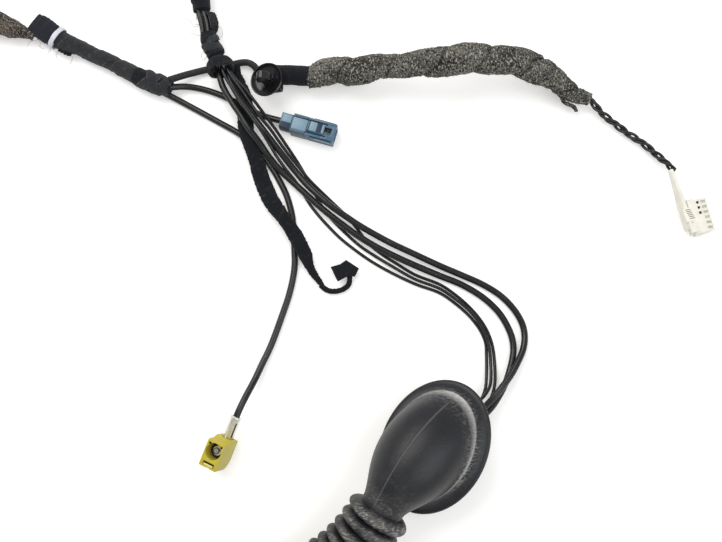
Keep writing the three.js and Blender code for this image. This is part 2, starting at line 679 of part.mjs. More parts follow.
function looseTape() {
  const route = [
    [-71.2, 124.5, 8], [-69.8, 122.2, 8.6], [-68.8, 119.4, 9], [-68.6, 116.8, 9.2], [-69.2, 114.4, 9.4],
  ];
  const standing = Math.PI / 2;
  add(harness, 'loose_tape_loop', strip(route, 10, 6, tapeThickness, () => standing), clothTape);
}

upperPieces();
looseTape();

// Left arm: taped trunk with its junction, white band, tape flag, foam and plain plug

function leftArm() {
  add(harness, 'left_trunk_tape', barAlong(routeCurve(routes.leftTrunk), 14, 12, (at, angle) => ({
    width: spread(leftTrunk.widths, at),
    height: spread(leftTrunk.heights, at),
    swell: 0.15 * Math.cos(angle - 40 * at),
  })), clothTape);
  add(harness, 'junction_tape', barAlong(routeCurve(routes.junction), 8, 12, (at, angle) => ({
    width: spread(junctionWrap.widths, at),
    height: spread(junctionWrap.heights, at),
    swell: 0.3 * Math.cos(2 * angle + 8 * at),
  })), clothTape);

  const bandAlong = heading(band.headingDeg);
  add(harness, 'white_band', hoop(vector(band.place), bandAlong, band.length, band.bore, band.wall), greyPlastic);

  const flagWidth = (at) => spread(leftFlag.widths, at);
  const flagTurn = (at) => 0.5 - 0.5 * at;
  const flag = strip(routes.tapeFlag, 10, flagWidth, leftFlag.thickness, flagTurn);
  add(harness, 'left_tape_flag', flag, clothTape);

  add(harness, 'left_foam', barAlong(routeCurve(routes.leftFoam), 22, 12, (at, angle) => ({
    width: spread(leftFoam.widths, at),
    height: spread(leftFoam.heights, at),
    swell: 0.35 * Math.cos(angle - 26 * at) + 0.2 * Math.cos(3 * angle + 17 * at),
  })), foamSkin);
  add(harness, 'left_tail_tape', barAlong(routeCurve(routes.leftTail), 4, 12, () => ({
    width: leftTailDiameter,
    height: leftTailDiameter,
  })), clothTape);
  plug(harness, 'left', vector(routes.leftTail.at(-1)), new THREE.Vector3(-1, 0.09, 0));
}

leftArm();

// Cables that leave the junction

function junctionCables() {
  add(harness, 'coax_to_yellow', cable(routes.yellowCoax, coaxDiameter), cableJacket);
  add(harness, 'coax_to_blue', cable(routes.blueCoax, coaxDiameter), cableJacket);
  add(harness, 'clip_lead', cable(routes.clipLead, clipLeadDiameter), clothTape);
}

junctionCables();

// Retainer clip: tape bar, sealing cup and arrowhead moulded in one

function retainerClip() {
  const cupDiameter = 16.4;
  const barPlace = -6;
  const bar = block(10, 8, 3, -1, 0, barPlace);
  const cup = lathe([
    [0, -5], [2.4, -5], [2.6, -1.6], [6, -0.6], [cupDiameter / 2, 1.6], [cupDiameter / 2 - 0.5, 2.3],
    [5.6, 0.6], [2.2, -0.2], [2, 2], [0, 2],
  ], 24);
  const arrow = new THREE.Shape();
  arrow.moveTo(-1.9, 1);
  arrow.lineTo(1.9, 1);
  arrow.lineTo(2.1, 3.2);
  arrow.lineTo(3.7, 3.4);
  arrow.quadraticCurveTo(3.2, 7.4, 1.2, 9.2);
  arrow.lineTo(-1.2, 9.2);
  arrow.quadraticCurveTo(-3.2, 7.4, -3.7, 3.4);
  arrow.lineTo(-2.1, 3.2);
  arrow.closePath();
  const bladeThickness = 3.6;
  const blade = new THREE.ExtrudeGeometry(arrow, { depth: bladeThickness, bevelEnabled: false, curveSegments: 4 });
  blade.translate(0, 0, -bladeThickness / 2).rotateX(Math.PI / 2);
  const reliefs = [-1.5, 1.5].map((x) => block(0.8, 6, 4.2, x, 0, 5));
  const clip = carve(join([bar, cup, blade]), reliefs);
  const mesh = add(harness, 'retainer_clip', clip, blackPlastic);
  mesh.position.set(-43.9, 89.6, 9.3);
  mesh.rotation.y = THREE.MathUtils.degToRad(-20);
}

retainerClip();

// Right branch: tape, fleece wrap with its loose curl, twisted wires and the white connector

function rightBranch() {
  add(harness, 'branch_tape', barAlong(routeCurve(routes.branchTape), 5, 14, () => ({
    width: 9.6,
    height: 9.6,
  })), clothTape);
  const foamSizes = [9.4, 12.2, 13, 11.6, 10.7, 11.2, 12.6, 14.4, 13, 13.2, 13.2, 12.9, 10.6, 8, 4.6];
  add(harness, 'branch_foam', barAlong(routeCurve(routes.branchFoam), 56, 14, (at, angle) => ({
    width: spread(foamSizes, at),
    height: spread(foamSizes, at) * 0.97,
    swell: 0.45 * Math.cos(angle - 52 * at) + 0.25 * Math.cos(2 * angle + 33 * at),
  })), fleece);
  const curl = [[96.4, 80.2, 6], [99, 79.4, 4.8], [101.4, 78.2, 4.2], [102.4, 76.2, 4.4]];
  add(harness, 'foam_curl', strip(curl, 6, 3.4, 1.1, () => 0.7), fleece);
}

rightBranch();

function twistedWires() {
  const curve = routeCurve(routes.twist);
  const turns = 3.5;
  const radius = 1;
  const pointsPerTurn = 6;
  const count = Math.round(turns * pointsPerTurn);
  for (let strand = 0; strand < 3; strand += 1) {
    const places = [];
    for (let step = 0; step <= count; step += 1) {
      const at = step / count;
      const { centre, side, lift } = frameAt(curve, at);
      const angle = 2 * Math.PI * (turns * at + strand / 3);
      centre.addScaledVector(side, radius * Math.cos(angle));
      centre.addScaledVector(lift, radius * Math.sin(angle));
      places.push(centre.toArray());
    }
    const names = ['twisted_wire_a', 'twisted_wire_b', 'twisted_wire_c'];
    add(harness, names[strand], cable(places, twistWireDiameter, curve.getLength() / count), cableJacket);
  }
}

twistedWires();

function whiteConnector() {
  const group = new THREE.Group();
  group.position.set(156.7, 24.7, 5.2);
  group.rotation.set(0, THREE.MathUtils.degToRad(14), THREE.MathUtils.degToRad(13.3), 'ZYX');
  harness.add(group);

  const wayPitch = 2.5;
  const ways = 6;
  const size = { length: 10.2, width: wayPitch * ways + 0.8, height: 5.6 };
  const frontX = size.length / 2;
  const body = block(size.length, size.width, size.height);
  const shoulder = block(4, size.width + 1.6, 2.2, -frontX + 3, 0, -1);
  const cuts = [];
  const wayAt = (way) => (way - (ways - 1) / 2) * wayPitch;
  for (let way = 0; way < ways; way += 1) {
    cuts.push(block(8, 1.6, 1.9, frontX - 3, wayAt(way), -0.7));
    cuts.push(block(4, 1.2, 1.4, frontX - 1.4, wayAt(way), size.height / 2 - 0.3));
  }
  for (const way of [3, 4, 5]) {
    cuts.push(block(1.5, 1.2, 3, frontX - 5, wayAt(way), size.height / 2 - 0.8));
  }
  add(group, 'white_connector_housing', carve(join([body, shoulder]), cuts), whitePlastic);
  const terminalNames = ['white_terminal_a', 'white_terminal_b', 'white_terminal_c'];
  terminalNames.forEach((name, index) => {
    add(group, name, block(6.4, 1, 1.3, frontX - 3.5, wayAt(3 + index), -0.7), tinPlate);
  });

  const hood = { thickness: 2.2, reach: 24, rearGap: seatGap };
  const outline = new THREE.Shape();
  outline.moveTo(-7.4, -2.7);
  outline.lineTo(8.4, -2.9);
  outline.quadraticCurveTo(17, -2.3, hood.reach, -1.7);
  outline.lineTo(hood.reach + 0.3, 1.8);
  outline.quadraticCurveTo(15, 2.4, 8.6, 2.9);
  outline.lineTo(-6.4, 2.8);
  outline.quadraticCurveTo(-7.4, 2.2, -7.4, -2.7);
  const shell = new THREE.ExtrudeGeometry(outline, {
    depth: hood.thickness, bevelEnabled: false, curveSegments: 5,
  });
  // The outline lies in the hood's own length and height, and its thickness runs along X.
  shell.applyMatrix4(new THREE.Matrix4().makeBasis(
    new THREE.Vector3(0, 1, 0),
    new THREE.Vector3(0, 0, 1),
    new THREE.Vector3(1, 0, 0),
  ));
  shell.translate(-frontX - hood.rearGap - hood.thickness, 0, 0);
  const wireWay = block(hood.thickness - 1.2, 5, 2.4, -frontX - hood.rearGap - hood.thickness / 2, hood.reach - 1.5, 0);
  add(group, 'white_connector_hood', carve(shell, [wireWay]), whitePlastic);
}

whiteConnector();

// Blue coaxial connector

function coaxInsert(group, prefix, seatX, reach, tubeDiameter) {
  const tubeBore = tubeDiameter - 0.9;
  const flange = tubeDiameter + 1.4;
  const tube = carve(
    join([
      alongX(rod(tubeDiameter, reach, 20)).translate(seatX + reach / 2, 0, 0),
      alongX(rod(flange, 1.2, 20)).translate(seatX + 0.6, 0, 0),
    ]),
    [alongX(rod(tubeBore, reach, 20)).translate(seatX + reach / 2 + 1.2, 0, 0)],
  );
  add(group, `${prefix}_outer_contact`, tube, tinPlate);
  const coreDiameter = tubeBore - 2 * 0.2;
  const coreReach = reach - 3.5;
  const core = alongX(rod(coreDiameter, coreReach, 16)).translate(seatX + 1.5 + coreReach / 2, 0, 0);
  const pinHole = alongX(rod(1.4, coreReach, 12)).translate(seatX + 2.5 + coreReach / 2, 0, 0);
  add(group, `${prefix}_insulator`, carve(core, [pinHole]), ivoryPlastic);
  const pin = alongX(rod(0.9, coreReach - 1, 10)).translate(seatX + 2.8 + (coreReach - 1) / 2, 0, 0);
  add(group, `${prefix}_centre_contact`, pin, brassPlate);
}

function blueConnector() {
  const group = new THREE.Group();
  group.position.set(-38.1, 71.4, 4.5);
  group.rotation.z = THREE.MathUtils.degToRad(-16);
  harness.add(group);

  const size = { length: 27, width: 8.6, height: 8.2, neck: 7, neckLength: 5.4 };
  const seat = { width: 7.2, height: 6.8 };
  const groove = { width: 0.7, depth: 0.8, place: 2.9 };
  const socket = { diameter: 7, depth: 13 };
  const neck = block(size.neckLength + 1, size.neck, size.neck, (size.neckLength + 1) / 2 + seatGap, 0, 0);
  const lockSeat = block(8, seat.width, seat.height, size.neckLength + 4, 0, 0);
  const bodyLength = size.length - 13;
  const body = block(bodyLength, size.width, size.height, 13 + bodyLength / 2, 0, 0);
  const rails = [];
  for (const side of [-1, 1]) {
    rails.push(block(10.5, 0.9, 2, size.length - 6, side * (size.width / 2 + 0.3), 1.6));
  }
  const bridge = block(7.6, 4.6, 0.9, 17.4, 0, size.height / 2 + 0.3);
  const cuts = [
    alongX(rod(socket.diameter, socket.depth, 24)).translate(size.length - socket.depth / 2 + 0.01, 0, 0),
    block(3.4, 3.4, 3, 23.4, 0, size.height / 2),
    block(0.7, size.width + 1, 1.2, 20.8, 0, size.height / 2 + 0.5),
  ];
  for (const side of [-1, 1]) {
    cuts.push(block(9, 0.8, 1.4, size.length - 7, side * (size.width / 2), -1.6));
    cuts.push(block(9.4, groove.width, 2 * groove.depth, 18.2, side * groove.place, size.height / 2));
  }
  add(group, 'blue_housing', carve(join([neck, lockSeat, body, ...rails, bridge]), cuts), bluePlastic);

  const lockLength = 6.8;
  const lockX = size.neckLength + 0.7 + lockLength / 2;
  const lockOuter = block(lockLength, size.width + 0.2, size.height + 0.2, lockX, 0, 0);
  const lockInner = block(lockLength + 1, seat.width + 2 * seatGap, seat.height + 2 * seatGap, lockX, 0, 0);
  const lockMouth = block(lockLength + 1, 5.6, 3, lockX, 0, -size.height / 2);
  const lockRidges = [-1, 1].map((side) => block(lockLength, 0.7, 0.8, lockX, side * 3.7, size.height / 2 + 0.2));
  add(group, 'blue_lock', carve(join([lockOuter, ...lockRidges]), [lockInner, lockMouth]), paleBluePlastic);
  coaxInsert(group, 'blue', size.length - socket.depth + seatGap, 8.4, 4.6);
}

blueConnector();

// Yellow angled coaxial connector with its crimp ferrule

function yellowConnector() {
  const mating = new THREE.Vector3(-0.28, -0.09, 0.956).normalize();
  const toCable = new THREE.Vector3(0.42, 0.9, 0);
  toCable.addScaledVector(mating, -toCable.dot(mating)).normalize();
  const across = new THREE.Vector3().crossVectors(mating, toCable);
  const group = new THREE.Group();
  group.position.set(-65, -83.9, 15.3);
  group.quaternion.setFromRotationMatrix(new THREE.Matrix4().makeBasis(mating, toCable, across));
  harness.add(group);

  const width = 8.4;
  const depth = 14.6;
  const cableDepth = 10.8;
  const cableReach = 7;
  const ferrule = { diameter: 4.8, length: 11.8, lip: 0.8 };
  const side = new THREE.Shape();
  side.moveTo(0, -6.6);
  side.lineTo(0, 5.2);
  side.lineTo(-1.2, 5.8);
  side.lineTo(-5, 5.8);
  side.quadraticCurveTo(-6.6, cableReach, -8, cableReach);
  side.lineTo(-depth, cableReach);
  side.lineTo(-depth, -1.4);
  side.quadraticCurveTo(-13.6, -5.4, -9, -6.6);
  side.closePath();
  const shell = new THREE.ExtrudeGeometry(side, { depth: width, bevelEnabled: false, curveSegments: 5 });
  shell.translate(0, 0, -width / 2);
  const socket = { diameter: 7.6, depth: 11, lift: 1.2, keyPlace: 2.9, keyWidth: 1.2 };
  const cuts = [
    alongX(rod(socket.diameter, socket.depth, 24)).translate(-socket.depth / 2 + 0.01, socket.lift, 0),
    block(7, 1.9, 5.6, -3, -4.9, 0),
    rod(ferrule.diameter + 2 * seatGap, 3, 16).translate(-cableDepth, cableReach - 0.5, 0),
  ];
  for (const turned of [-1, 1]) {
    const key = socket.keyWidth;
    cuts.push(block(6, key, key, -2.5, socket.lift + socket.keyPlace, turned * socket.keyPlace));
  }
  add(group, 'yellow_housing', carve(shell, cuts), yellowPlastic);

  const ferruleStart = cableReach - 1.7;
  const ferruleMiddle = ferruleStart + ferrule.length / 2;
  const ferruleShape = rod(ferrule.diameter, ferrule.length, 16).translate(-cableDepth, ferruleMiddle, 0);
  const lipPlace = ferruleStart + ferrule.length - ferrule.lip + 0.3;
  const lipShape = rod(ferrule.diameter + 0.4, ferrule.lip, 16).translate(-cableDepth, lipPlace, 0);
  const seamX = ferrule.diameter / 2 - 0.05 - cableDepth;
  const seam = block(0.5, ferrule.length - 3, 0.3, seamX, ferruleMiddle, 0.4);
  add(group, 'yellow_ferrule', carve(join([ferruleShape, lipShape]), [seam]), tinPlate);
  const insert = new THREE.Group();
  insert.position.set(0, socket.lift, 0);
  group.add(insert);
  coaxInsert(insert, 'yellow', -socket.depth + seatGap, 6.4, 4.2);
}

yellowConnector();

// Flat taped spur with its lead and folded end flag

function tapedSpur() {
  const widths = [3.4, 6.6, 7.8, 7.8, 7, 6.8, 7.6, 7.8, 7.6, 6.2, 7, 6.6, 3.8, 2.2];
  const heights = [2.4, 2.6, 2.6, 2.5, 2.5, 2.6, 2.6, 2.6, 2.5, 2.4, 2.4, 2.2, 2];
  add(harness, 'spur_tape', barAlong(routeCurve(routes.spur), 36, 8, (at) => ({
    width: spread(widths, at),
    height: spread(heights, at),
  })), clothTape);
  add(harness, 'spur_lead', cable(routes.spurLead, spurLeadDiameter), clothTape);

  const flag = new THREE.Shape();
  flag.moveTo(-14.1, 1.3);
  flag.lineTo(-9.6, 2.6);
  flag.lineTo(-6.9, 4.6);
  flag.lineTo(-0.9, 0.6);
  flag.lineTo(-2.8, -3.2);
  flag.lineTo(-6, -2.9);
  flag.lineTo(-10.8, -5.5);
  flag.closePath();
  const flagGeometry = new THREE.ExtrudeGeometry(flag, { depth: 1.3, bevelEnabled: false });
  flagGeometry.translate(0, 0, 2.6);
  add(harness, 'spur_flag', flagGeometry, clothTape);
}

tapedSpur();

// The origin is under the middle of the rigid pieces' span.
harness.position.set(78.77, -12.52, 0);

export default harness;
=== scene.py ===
"""Vehicle wiring harness with a rubber boot: its looks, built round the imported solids."""
import logging
import math
import random
from collections.abc import Callable, Sequence
from dataclasses import dataclass, field
from enum import Enum

import bmesh
import bpy
from mathutils import Matrix, Vector, noise


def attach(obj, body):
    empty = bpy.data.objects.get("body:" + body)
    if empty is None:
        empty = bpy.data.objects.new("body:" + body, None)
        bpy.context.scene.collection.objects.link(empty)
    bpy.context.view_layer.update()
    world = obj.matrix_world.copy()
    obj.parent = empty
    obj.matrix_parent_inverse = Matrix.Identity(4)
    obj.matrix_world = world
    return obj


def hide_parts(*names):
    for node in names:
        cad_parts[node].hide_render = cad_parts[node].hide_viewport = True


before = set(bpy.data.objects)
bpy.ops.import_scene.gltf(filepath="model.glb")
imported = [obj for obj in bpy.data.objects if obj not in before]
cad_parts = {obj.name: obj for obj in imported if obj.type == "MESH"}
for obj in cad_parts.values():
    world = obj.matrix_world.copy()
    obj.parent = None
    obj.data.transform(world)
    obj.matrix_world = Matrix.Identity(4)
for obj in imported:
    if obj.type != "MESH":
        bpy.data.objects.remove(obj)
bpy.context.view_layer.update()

LOG = logging.getLogger("harness")

MM = 0.001
MIDDLE = Vector((-78.77, 12.52, 0.0))  # middle of the rigid pieces' span, in the layout's millimetres
UP = Vector((0.0, 0.0, 1.0))

Place = tuple[float, float, float]
Route = Sequence[Place]
Rings = list[list[Vector]]
Color = tuple[float, float, float]
Piece = bpy.types.Object
Socket = bpy.types.NodeSocket
Shape = Callable[[float, float, float], "Section"]


class Slot(Enum):
    """Material slots of the record."""

    RUBBER = "rubber"
    JACKET = "cable_jacket"
    TAPE = "cloth_tape"
    FLEECE = "fleece"
    FOAM = "foam"
    BLACK = "black_plastic"
    BAND = "band"
    WHITE = "white_plastic"
    BLUE = "blue_plastic"
    PALE_BLUE = "pale_blue_plastic"
    YELLOW = "yellow_plastic"
    TIN = "tin_plate"
    INSULATOR = "insulator"
    BRASS = "brass_plate"


class FarEnd(Enum):
    """What a cord's far end goes into or carries."""

    CONNECTOR = "connector"
    OBJECT = "object"


# Routes of the cables and wraps, in millimetres, in the harness's own layout

ROUTES: dict[str, Route] = {
    "coax_lower": (
        (-68.3, 97, 8.4), (-65.2, 86.8, 8.9), (-60.9, 79.3, 8.7), (-56.6, 72.8, 8.5), (-52.3, 65.9, 8.3),
        (-48.1, 60.5, 7.2), (-43.6, 54.1, 5.2), (-38.4, 47.9, 3.9), (-33.2, 42.9, 3.5), (-27.7, 37.7, 3.5),
        (-22, 32.4, 3.5), (-15.9, 27.1, 3.5), (-9.3, 21.9, 3.5), (-2.3, 16.6, 3.5), (5.1, 11.9, 3.5),
        (12.5, 7.9, 3.5), (23.6, 2.7, 3.2), (36.6, -2.7, 2.2), (46.5, -6.7, 1.7), (56.3, -12.7, 1.6),
        (63.1, -19.2, 1.6), (66.9, -25.2, 1.6), (69.2, -31.1, 1.6), (69.8, -36.6, 1.8), (68.8, -42.6, 2.6),
        (67.3, -47.6, 3), (65.5, -52.2, 3.8), (62.5, -57.7, 5.2), (58.2, -63.6, 7.4), (53.4, -67.9, 9.8),
        (49.4, -70.4, 11.4), (46.4, -72.3, 12.4),
    ),
    "coax_upper": (
        (-64.9, 97.3, 7.6), (-62, 89.8, 8.6), (-58.1, 82.9, 8.5), (-53.7, 76.2, 8.5), (-49.2, 70.1, 8.4),
        (-44.7, 64.2, 8.3), (-40.3, 58.7, 6.6), (-35.6, 52.8, 5), (-30.5, 46.5, 4.2), (-25.3, 40.3, 4.6),
        (-19.8, 34.9, 5.2), (-14, 29.8, 5.4), (-7.4, 25.1, 5.2), (-0.5, 20.6, 4.4), (6.5, 16.6, 3.7),
        (14.4, 12.3, 3.6), (23.7, 7.9, 3.4), (36.7, 2, 2.2), (46.6, -2.2, 1.7), (56.5, -6.7, 1.6),
        (64.3, -11.7, 1.6), (70.1, -17.7, 1.6), (73.9, -24.2, 1.6), (75.1, -30.1, 1.8), (74.1, -36.7, 3),
        (71, -43.2, 4.8), (68, -48.3, 6.2), (63.8, -53.8, 7.6), (59.2, -59.2, 8.8), (54.7, -63.5, 10.8),
        (49.6, -67, 13.6), (45, -69.9, 15.1),
    ),
    "wire_middle": (
        (-66, 96.1, 11.5), (-63.4, 89.8, 11.3), (-58.9, 82.9, 11.1), (-54.5, 75.9, 11.1), (-50.3, 69.9, 11.1),
        (-46.7, 64.7, 10.8), (-42.9, 58.7, 9.3), (-39.3, 53.2, 5.7), (-34.7, 47.3, 2), (-30.7, 42.5, 0.9),
        (-27.1, 36.7, 0.9), (-24, 31.6, 0.9), (-20.2, 26.6, 0.9), (-15.5, 21.3, 0.9), (-9.8, 15.5, 0.9),
        (-3.7, 10.5, 0.9), (4.2, 4.8, 0.9), (13, -0.4, 0.9), (25.1, -6.3, 0.9), (36.6, -10.6, 0.9),
        (43.9, -15.7, 0.9), (50.3, -21.6, 0.9), (54.8, -27.7, 0.9), (57.2, -33.5, 0.9), (57.5, -39.7, 0.9),
        (57.2, -48.5, 1.8), (56.4, -54.4, 3.4), (54.2, -59.5, 5.8), (50, -64.4, 9), (45.4, -67, 11.4),
        (42.8, -68.4, 12.2),
    ),
    "wire_right": (
        (-63.7, 96, 11.2), (-60.8, 90.8, 11.2), (-55.9, 84.2, 10.8), (-51.4, 77.5, 10.4), (-47.1, 71.4, 9.8),
        (-42.6, 66.1, 8.6), (-38.3, 60.2, 7), (-33.7, 54.2, 5.2), (-28.7, 48.2, 4.2), (-24, 42.5, 3.8),
        (-18.6, 37.3, 2.6), (-13.2, 32.3, 1.2), (-7.5, 26.8, 0.9), (-1.9, 20.1, 0.9), (3.7, 12.7, 0.9),
        (10.2, 7.4, 0.9), (16.4, 3.4, 0.9), (25.1, -1.9, 0.9), (36.7, -6.6, 0.9), (44, -11.6, 0.9),
        (50.1, -17.1, 0.9), (55.1, -23.1, 0.9), (58.3, -28.7, 0.9), (60.3, -34.9, 0.9), (61.1, -42.4, 1.2),
        (61, -50.8, 2.2), (60, -55.8, 3.4), (57.2, -61.4, 5.2), (53, -65.8, 7.8), (48.4, -68.4, 10),
        (44.1, -69.8, 11.3),
    ),
    "wire_outer": (
        (-63.2, 97.1, 9.6), (-60.6, 92.2, 9.5), (-54.5, 85.4, 9), (-49.4, 78.8, 8.4), (-44.8, 72.7, 7.2),
        (-40.5, 67.1, 5.6), (-36.2, 61, 3.8), (-32, 55, 2.2), (-28.2, 49.1, 1), (-24.8, 43, 0.9),
        (-21.7, 36.9, 0.9), (-18.3, 30.7, 0.9), (-13.6, 24.4, 0.9), (-7.3, 17.9, 0.9), (-0.7, 11.9, 0.9),
        (6.5, 6.9, 1.2), (14.4, 1.9, 2), (25, -4.3, 2.4), (36.5, -8.8, 2.4), (43.8, -13.8, 2.4),
        (50.2, -19.4, 2.5), (54.6, -25.2, 2.5), (57.5, -31.1, 2.5), (58.8, -37.1, 2.4), (59.1, -43, 2.6),
        (59, -48.6, 4), (58.2, -53.4, 6), (55.2, -58.2, 8.4), (50.4, -62.2, 11.4), (45.4, -65.6, 13.8),
        (42.6, -68.1, 14.4),
    ),
    "coax_to_yellow": (
        (-92.1, 84.9, 2.8), (-86.5, 82.1, 2), (-76.9, 76.9, 1.6), (-66.3, 70.9, 1.6), (-59, 66.7, 1.6),
        (-51.8, 61.5, 1.6), (-46.4, 55.1, 1.6), (-41.6, 48.4, 1.6), (-38.2, 42.4, 1.6), (-35.3, 36.5, 1.6),
        (-33.4, 30.7, 1.6), (-32.1, 24.9, 1.6), (-31.6, 18.2, 1.6), (-31, 9.7, 1.6), (-30.9, 1.1, 1.6),
        (-32.9, -10.1, 1.6), (-36.4, -21.3, 1.6), (-41.4, -35.4, 1.8), (-44.9, -43.2, 2.6),
        (-48.2, -51, 4.6), (-51.2, -57.4, 7), (-53.1, -61.6, 8.3), (-54.5, -64.8, 8.7), (-55.45, -67.1, 8.4),
    ),
    "coax_to_blue": (
        (-91, 87.9, 5.1), (-83.7, 89, 3), (-75.8, 88.1, 1.8), (-67.6, 85.4, 1.6), (-59.8, 81.6, 1.6),
        (-53, 77.8, 1.6), (-46.2, 74.4, 2.6), (-38.7, 71.7, 4.4),
    ),
    "clip_lead": (
        (-89.5, 91.8, 6.1), (-85.4, 94, 4.2), (-79.7, 96.4, 2.4), (-72.7, 98.4, 1.7), (-65.5, 99.5, 1.7),
        (-58.3, 101.3, 2.2), (-54, 101, 3.2), (-50.6, 98.4, 3.8), (-48.6, 94.3, 3),
    ),
    "spur": (
        (-59.2, 98.2, 6.2), (-59.3, 94.2, 4.9), (-58, 89.3, 4.7), (-55.9, 83.6, 5), (-55.1, 78.2, 5),
        (-54.7, 73.2, 5), (-54.4, 68.3, 5), (-53.2, 62.6, 4.9), (-51, 56.9, 4.8), (-48.8, 50.2, 3.9),
        (-46.9, 44.2, 2.8), (-44.6, 38, 3.2), (-41.7, 32.2, 4.3), (-38.9, 28, 4.9), (-36.3, 24.4, 5.2),
        (-31.6, 17.7, 5.2), (-29.2, 13.4, 5.2), (-26.7, 8.9, 5.2), (-25.2, 5.2, 4.9), (-23.9, 1.8, 4.2),
        (-22.4, -0.9, 3.2), (-20.7, -3.4, 2.4), (-18.2, -6.7, 1.8),
    ),
    "spur_lead": (
        (-17.9, -7.6, 1.6), (-15.3, -9.4, 1.5), (-11.8, -9.8, 1.5), (-8, -8.7, 1.5), (-5.7, -6.6, 1.8),
        (-5.4, -4.2, 2.2),
    ),
    "twist": (
        (109.5, 80.8, 5.2), (113.5, 76.3, 4.6), (120.1, 70.5, 3.6), (128.5, 64.5, 3), (137.5, 57.2, 3.4),
        (145.2, 47.8, 6.4),
    ),
    "left_trunk": (
        (-145.8, 112.6, 4.5), (-140, 110.1, 4.3), (-132.7, 106.9, 4.3), (-119.8, 100.5, 4.3),
        (-107.5, 94.1, 4.5),
    ),
    "junction": ((-107.1, 93.9, 4.6), (-100.6, 90.9, 5), (-91.9, 87.9, 4.8)),
    "left_foam": (
        (-161, 114.9, 5), (-164.8, 116.6, 6), (-173.8, 119.5, 6.7), (-190.4, 123.8, 6.8),
        (-209.9, 127.4, 6.8), (-227.9, 129.9, 6.8),
    ),
    "left_tail": ((-228.3, 130, 6.8), (-238, 130.9, 6.8)),
    "tape_flag": ((-158, 120.9, 4.8), (-153.8, 118.3, 5), (-149.4, 115.1, 4.8), (-146.6, 113.2, 4.6)),
    "torn_edge": ((-144.8, 107.9, 4.2), (-142.4, 106.2, 4.2), (-139.2, 104.6, 4.2)),
    "branch_tape": ((-37.1, 93.3, 7.2), (-24.4, 92.3, 8.5)),
    "branch_foam": (
        (-23.2, 92.4, 8.6), (-16.6, 93.7, 9.4), (-8, 94, 10.6), (-0.5, 93.7, 12), (8.9, 94.4, 14),
        (18.2, 94.8, 16), (32.1, 95, 18), (44.6, 96.8, 18.5), (54.9, 97.1, 18), (64.8, 97, 17.2),
        (74.3, 95.9, 15.6), (85.5, 92.7, 12.6), (94.8, 86.9, 9.6), (102.8, 83.4, 7), (108.3, 81.7, 5.4),
    ),
    "foam_curl": (
        (93.8, 84.2, 8.2), (96.4, 80.2, 6), (99, 79.4, 4.8), (101.4, 78.2, 4.2), (102.4, 76.2, 4.4),
    ),
    "upper_wrap": ((-73, 113, 9), (-71.2, 107.4, 9.4), (-68.7, 102.2, 9.3)),
    "top_sleeve": ((-76.3, 125.5, 8), (-78.1, 137.1, 8), (-80.1, 152.1, 7), (-81, 163, 6.6)),
    "loose_tape": (
        (-72.5, 124.5, 8.3), (-71.1, 122.2, 8.9), (-70.1, 119.4, 9.3), (-69.9, 116.8, 9.5),
        (-70.5, 114.4, 9.7),
    ),
}


def placed(point: Sequence[float]) -> Vector:
    """Turn a place in the layout, in millimetres, into the frame's metres."""
    return (Vector(point) - MIDDLE) * MM


def spread(values: Sequence[float], at: float) -> float:
    """Read a value off evenly spread stations.

    Args:
        values: The stations' values, first to last.
        at: Where to read, from 0 to 1.

    Returns:
        The value there, eased between two stations.
    """
    spot = min(max(at, 0.0), 1.0) * (len(values) - 1)
    first = min(int(spot), len(values) - 2)
    share = spot - first
    smooth = share * share * (3 - 2 * share)
    return values[first] * (1 - smooth) + values[first + 1] * smooth


def curve_between(a: Vector, b: Vector, c: Vector, d: Vector, share: float) -> Vector:
    """Point on the centripetal spline stretch from b to c, with a before it and d after it."""
    gap_a = max((b - a).length ** 0.5, 1e-4)
    gap_b = max((c - b).length ** 0.5, 1e-4)
    gap_c = max((d - c).length ** 0.5, 1e-4)
    start = ((b - a) / gap_a - (c - a) / (gap_a + gap_b) + (c - b) / gap_b) * gap_b
    end = ((c - b) / gap_b - (d - b) / (gap_b + gap_c) + (d - c) / gap_c) * gap_b
    square = share * share
    cube = square * share
    return (
        b
        + start * share
        + (3 * (c - b) - 2 * start - end) * square
        + (2 * (b - c) + start + end) * cube
    )


class Track:
    """A smooth line through a route's places, with evenly spaced stations."""

    def __init__(self, places: Route, pace: float) -> None:
        """Lay the line.

        Args:
            places: The route in millimetres.
            pace: Distance between stations, in millimetres.
        """
        knots = [Vector(place) for place in places]
        knots = [2 * knots[0] - knots[1], *knots, 2 * knots[-1] - knots[-2]]
        fine: list[Vector] = []
        stretch_steps = 24
        for index in range(1, len(knots) - 2):
            for step in range(stretch_steps):
                fine.append(curve_between(*knots[index - 1:index + 3], step / stretch_steps))
        fine.append(knots[-2])
        self.points = evenly_spaced(fine, pace)
        self.length = sum((b - a).length for a, b in zip(self.points, self.points[1:]))

    def along(self, index: int) -> Vector:
        """Direction of the line at a station."""
        before = self.points[max(index - 1, 0)]
        after = self.points[min(index + 1, len(self.points) - 1)]
        return (after - before).normalized()

    def axes(self, index: int) -> tuple[Vector, Vector]:
        """Sideways and raised directions at a station."""
        along = self.along(index)
        side = along.cross(UP).normalized()
        return side, side.cross(along)


def evenly_spaced(points: Sequence[Vector], pace: float) -> list[Vector]:
    """Space points evenly along a line.

    Args:
        points: The line's points.
        pace: Wished distance between the new points.

    Returns:
        New points, with the line's two ends among them.
    """
    travelled = [0.0]
    for a, b in zip(points, points[1:]):
        travelled.append(travelled[-1] + (b - a).length)
    count = max(2, math.ceil(travelled[-1] / pace))
    result: list[Vector] = []
    index = 0
    for step in range(count + 1):
        goal = travelled[-1] * step / count
        while index < len(points) - 2 and travelled[index + 1] < goal:
            index += 1
        span = max(travelled[index + 1] - travelled[index], 1e-9)
        result.append(points[index].lerp(points[index + 1], (goal - travelled[index]) / span))
    return result


# Meshes


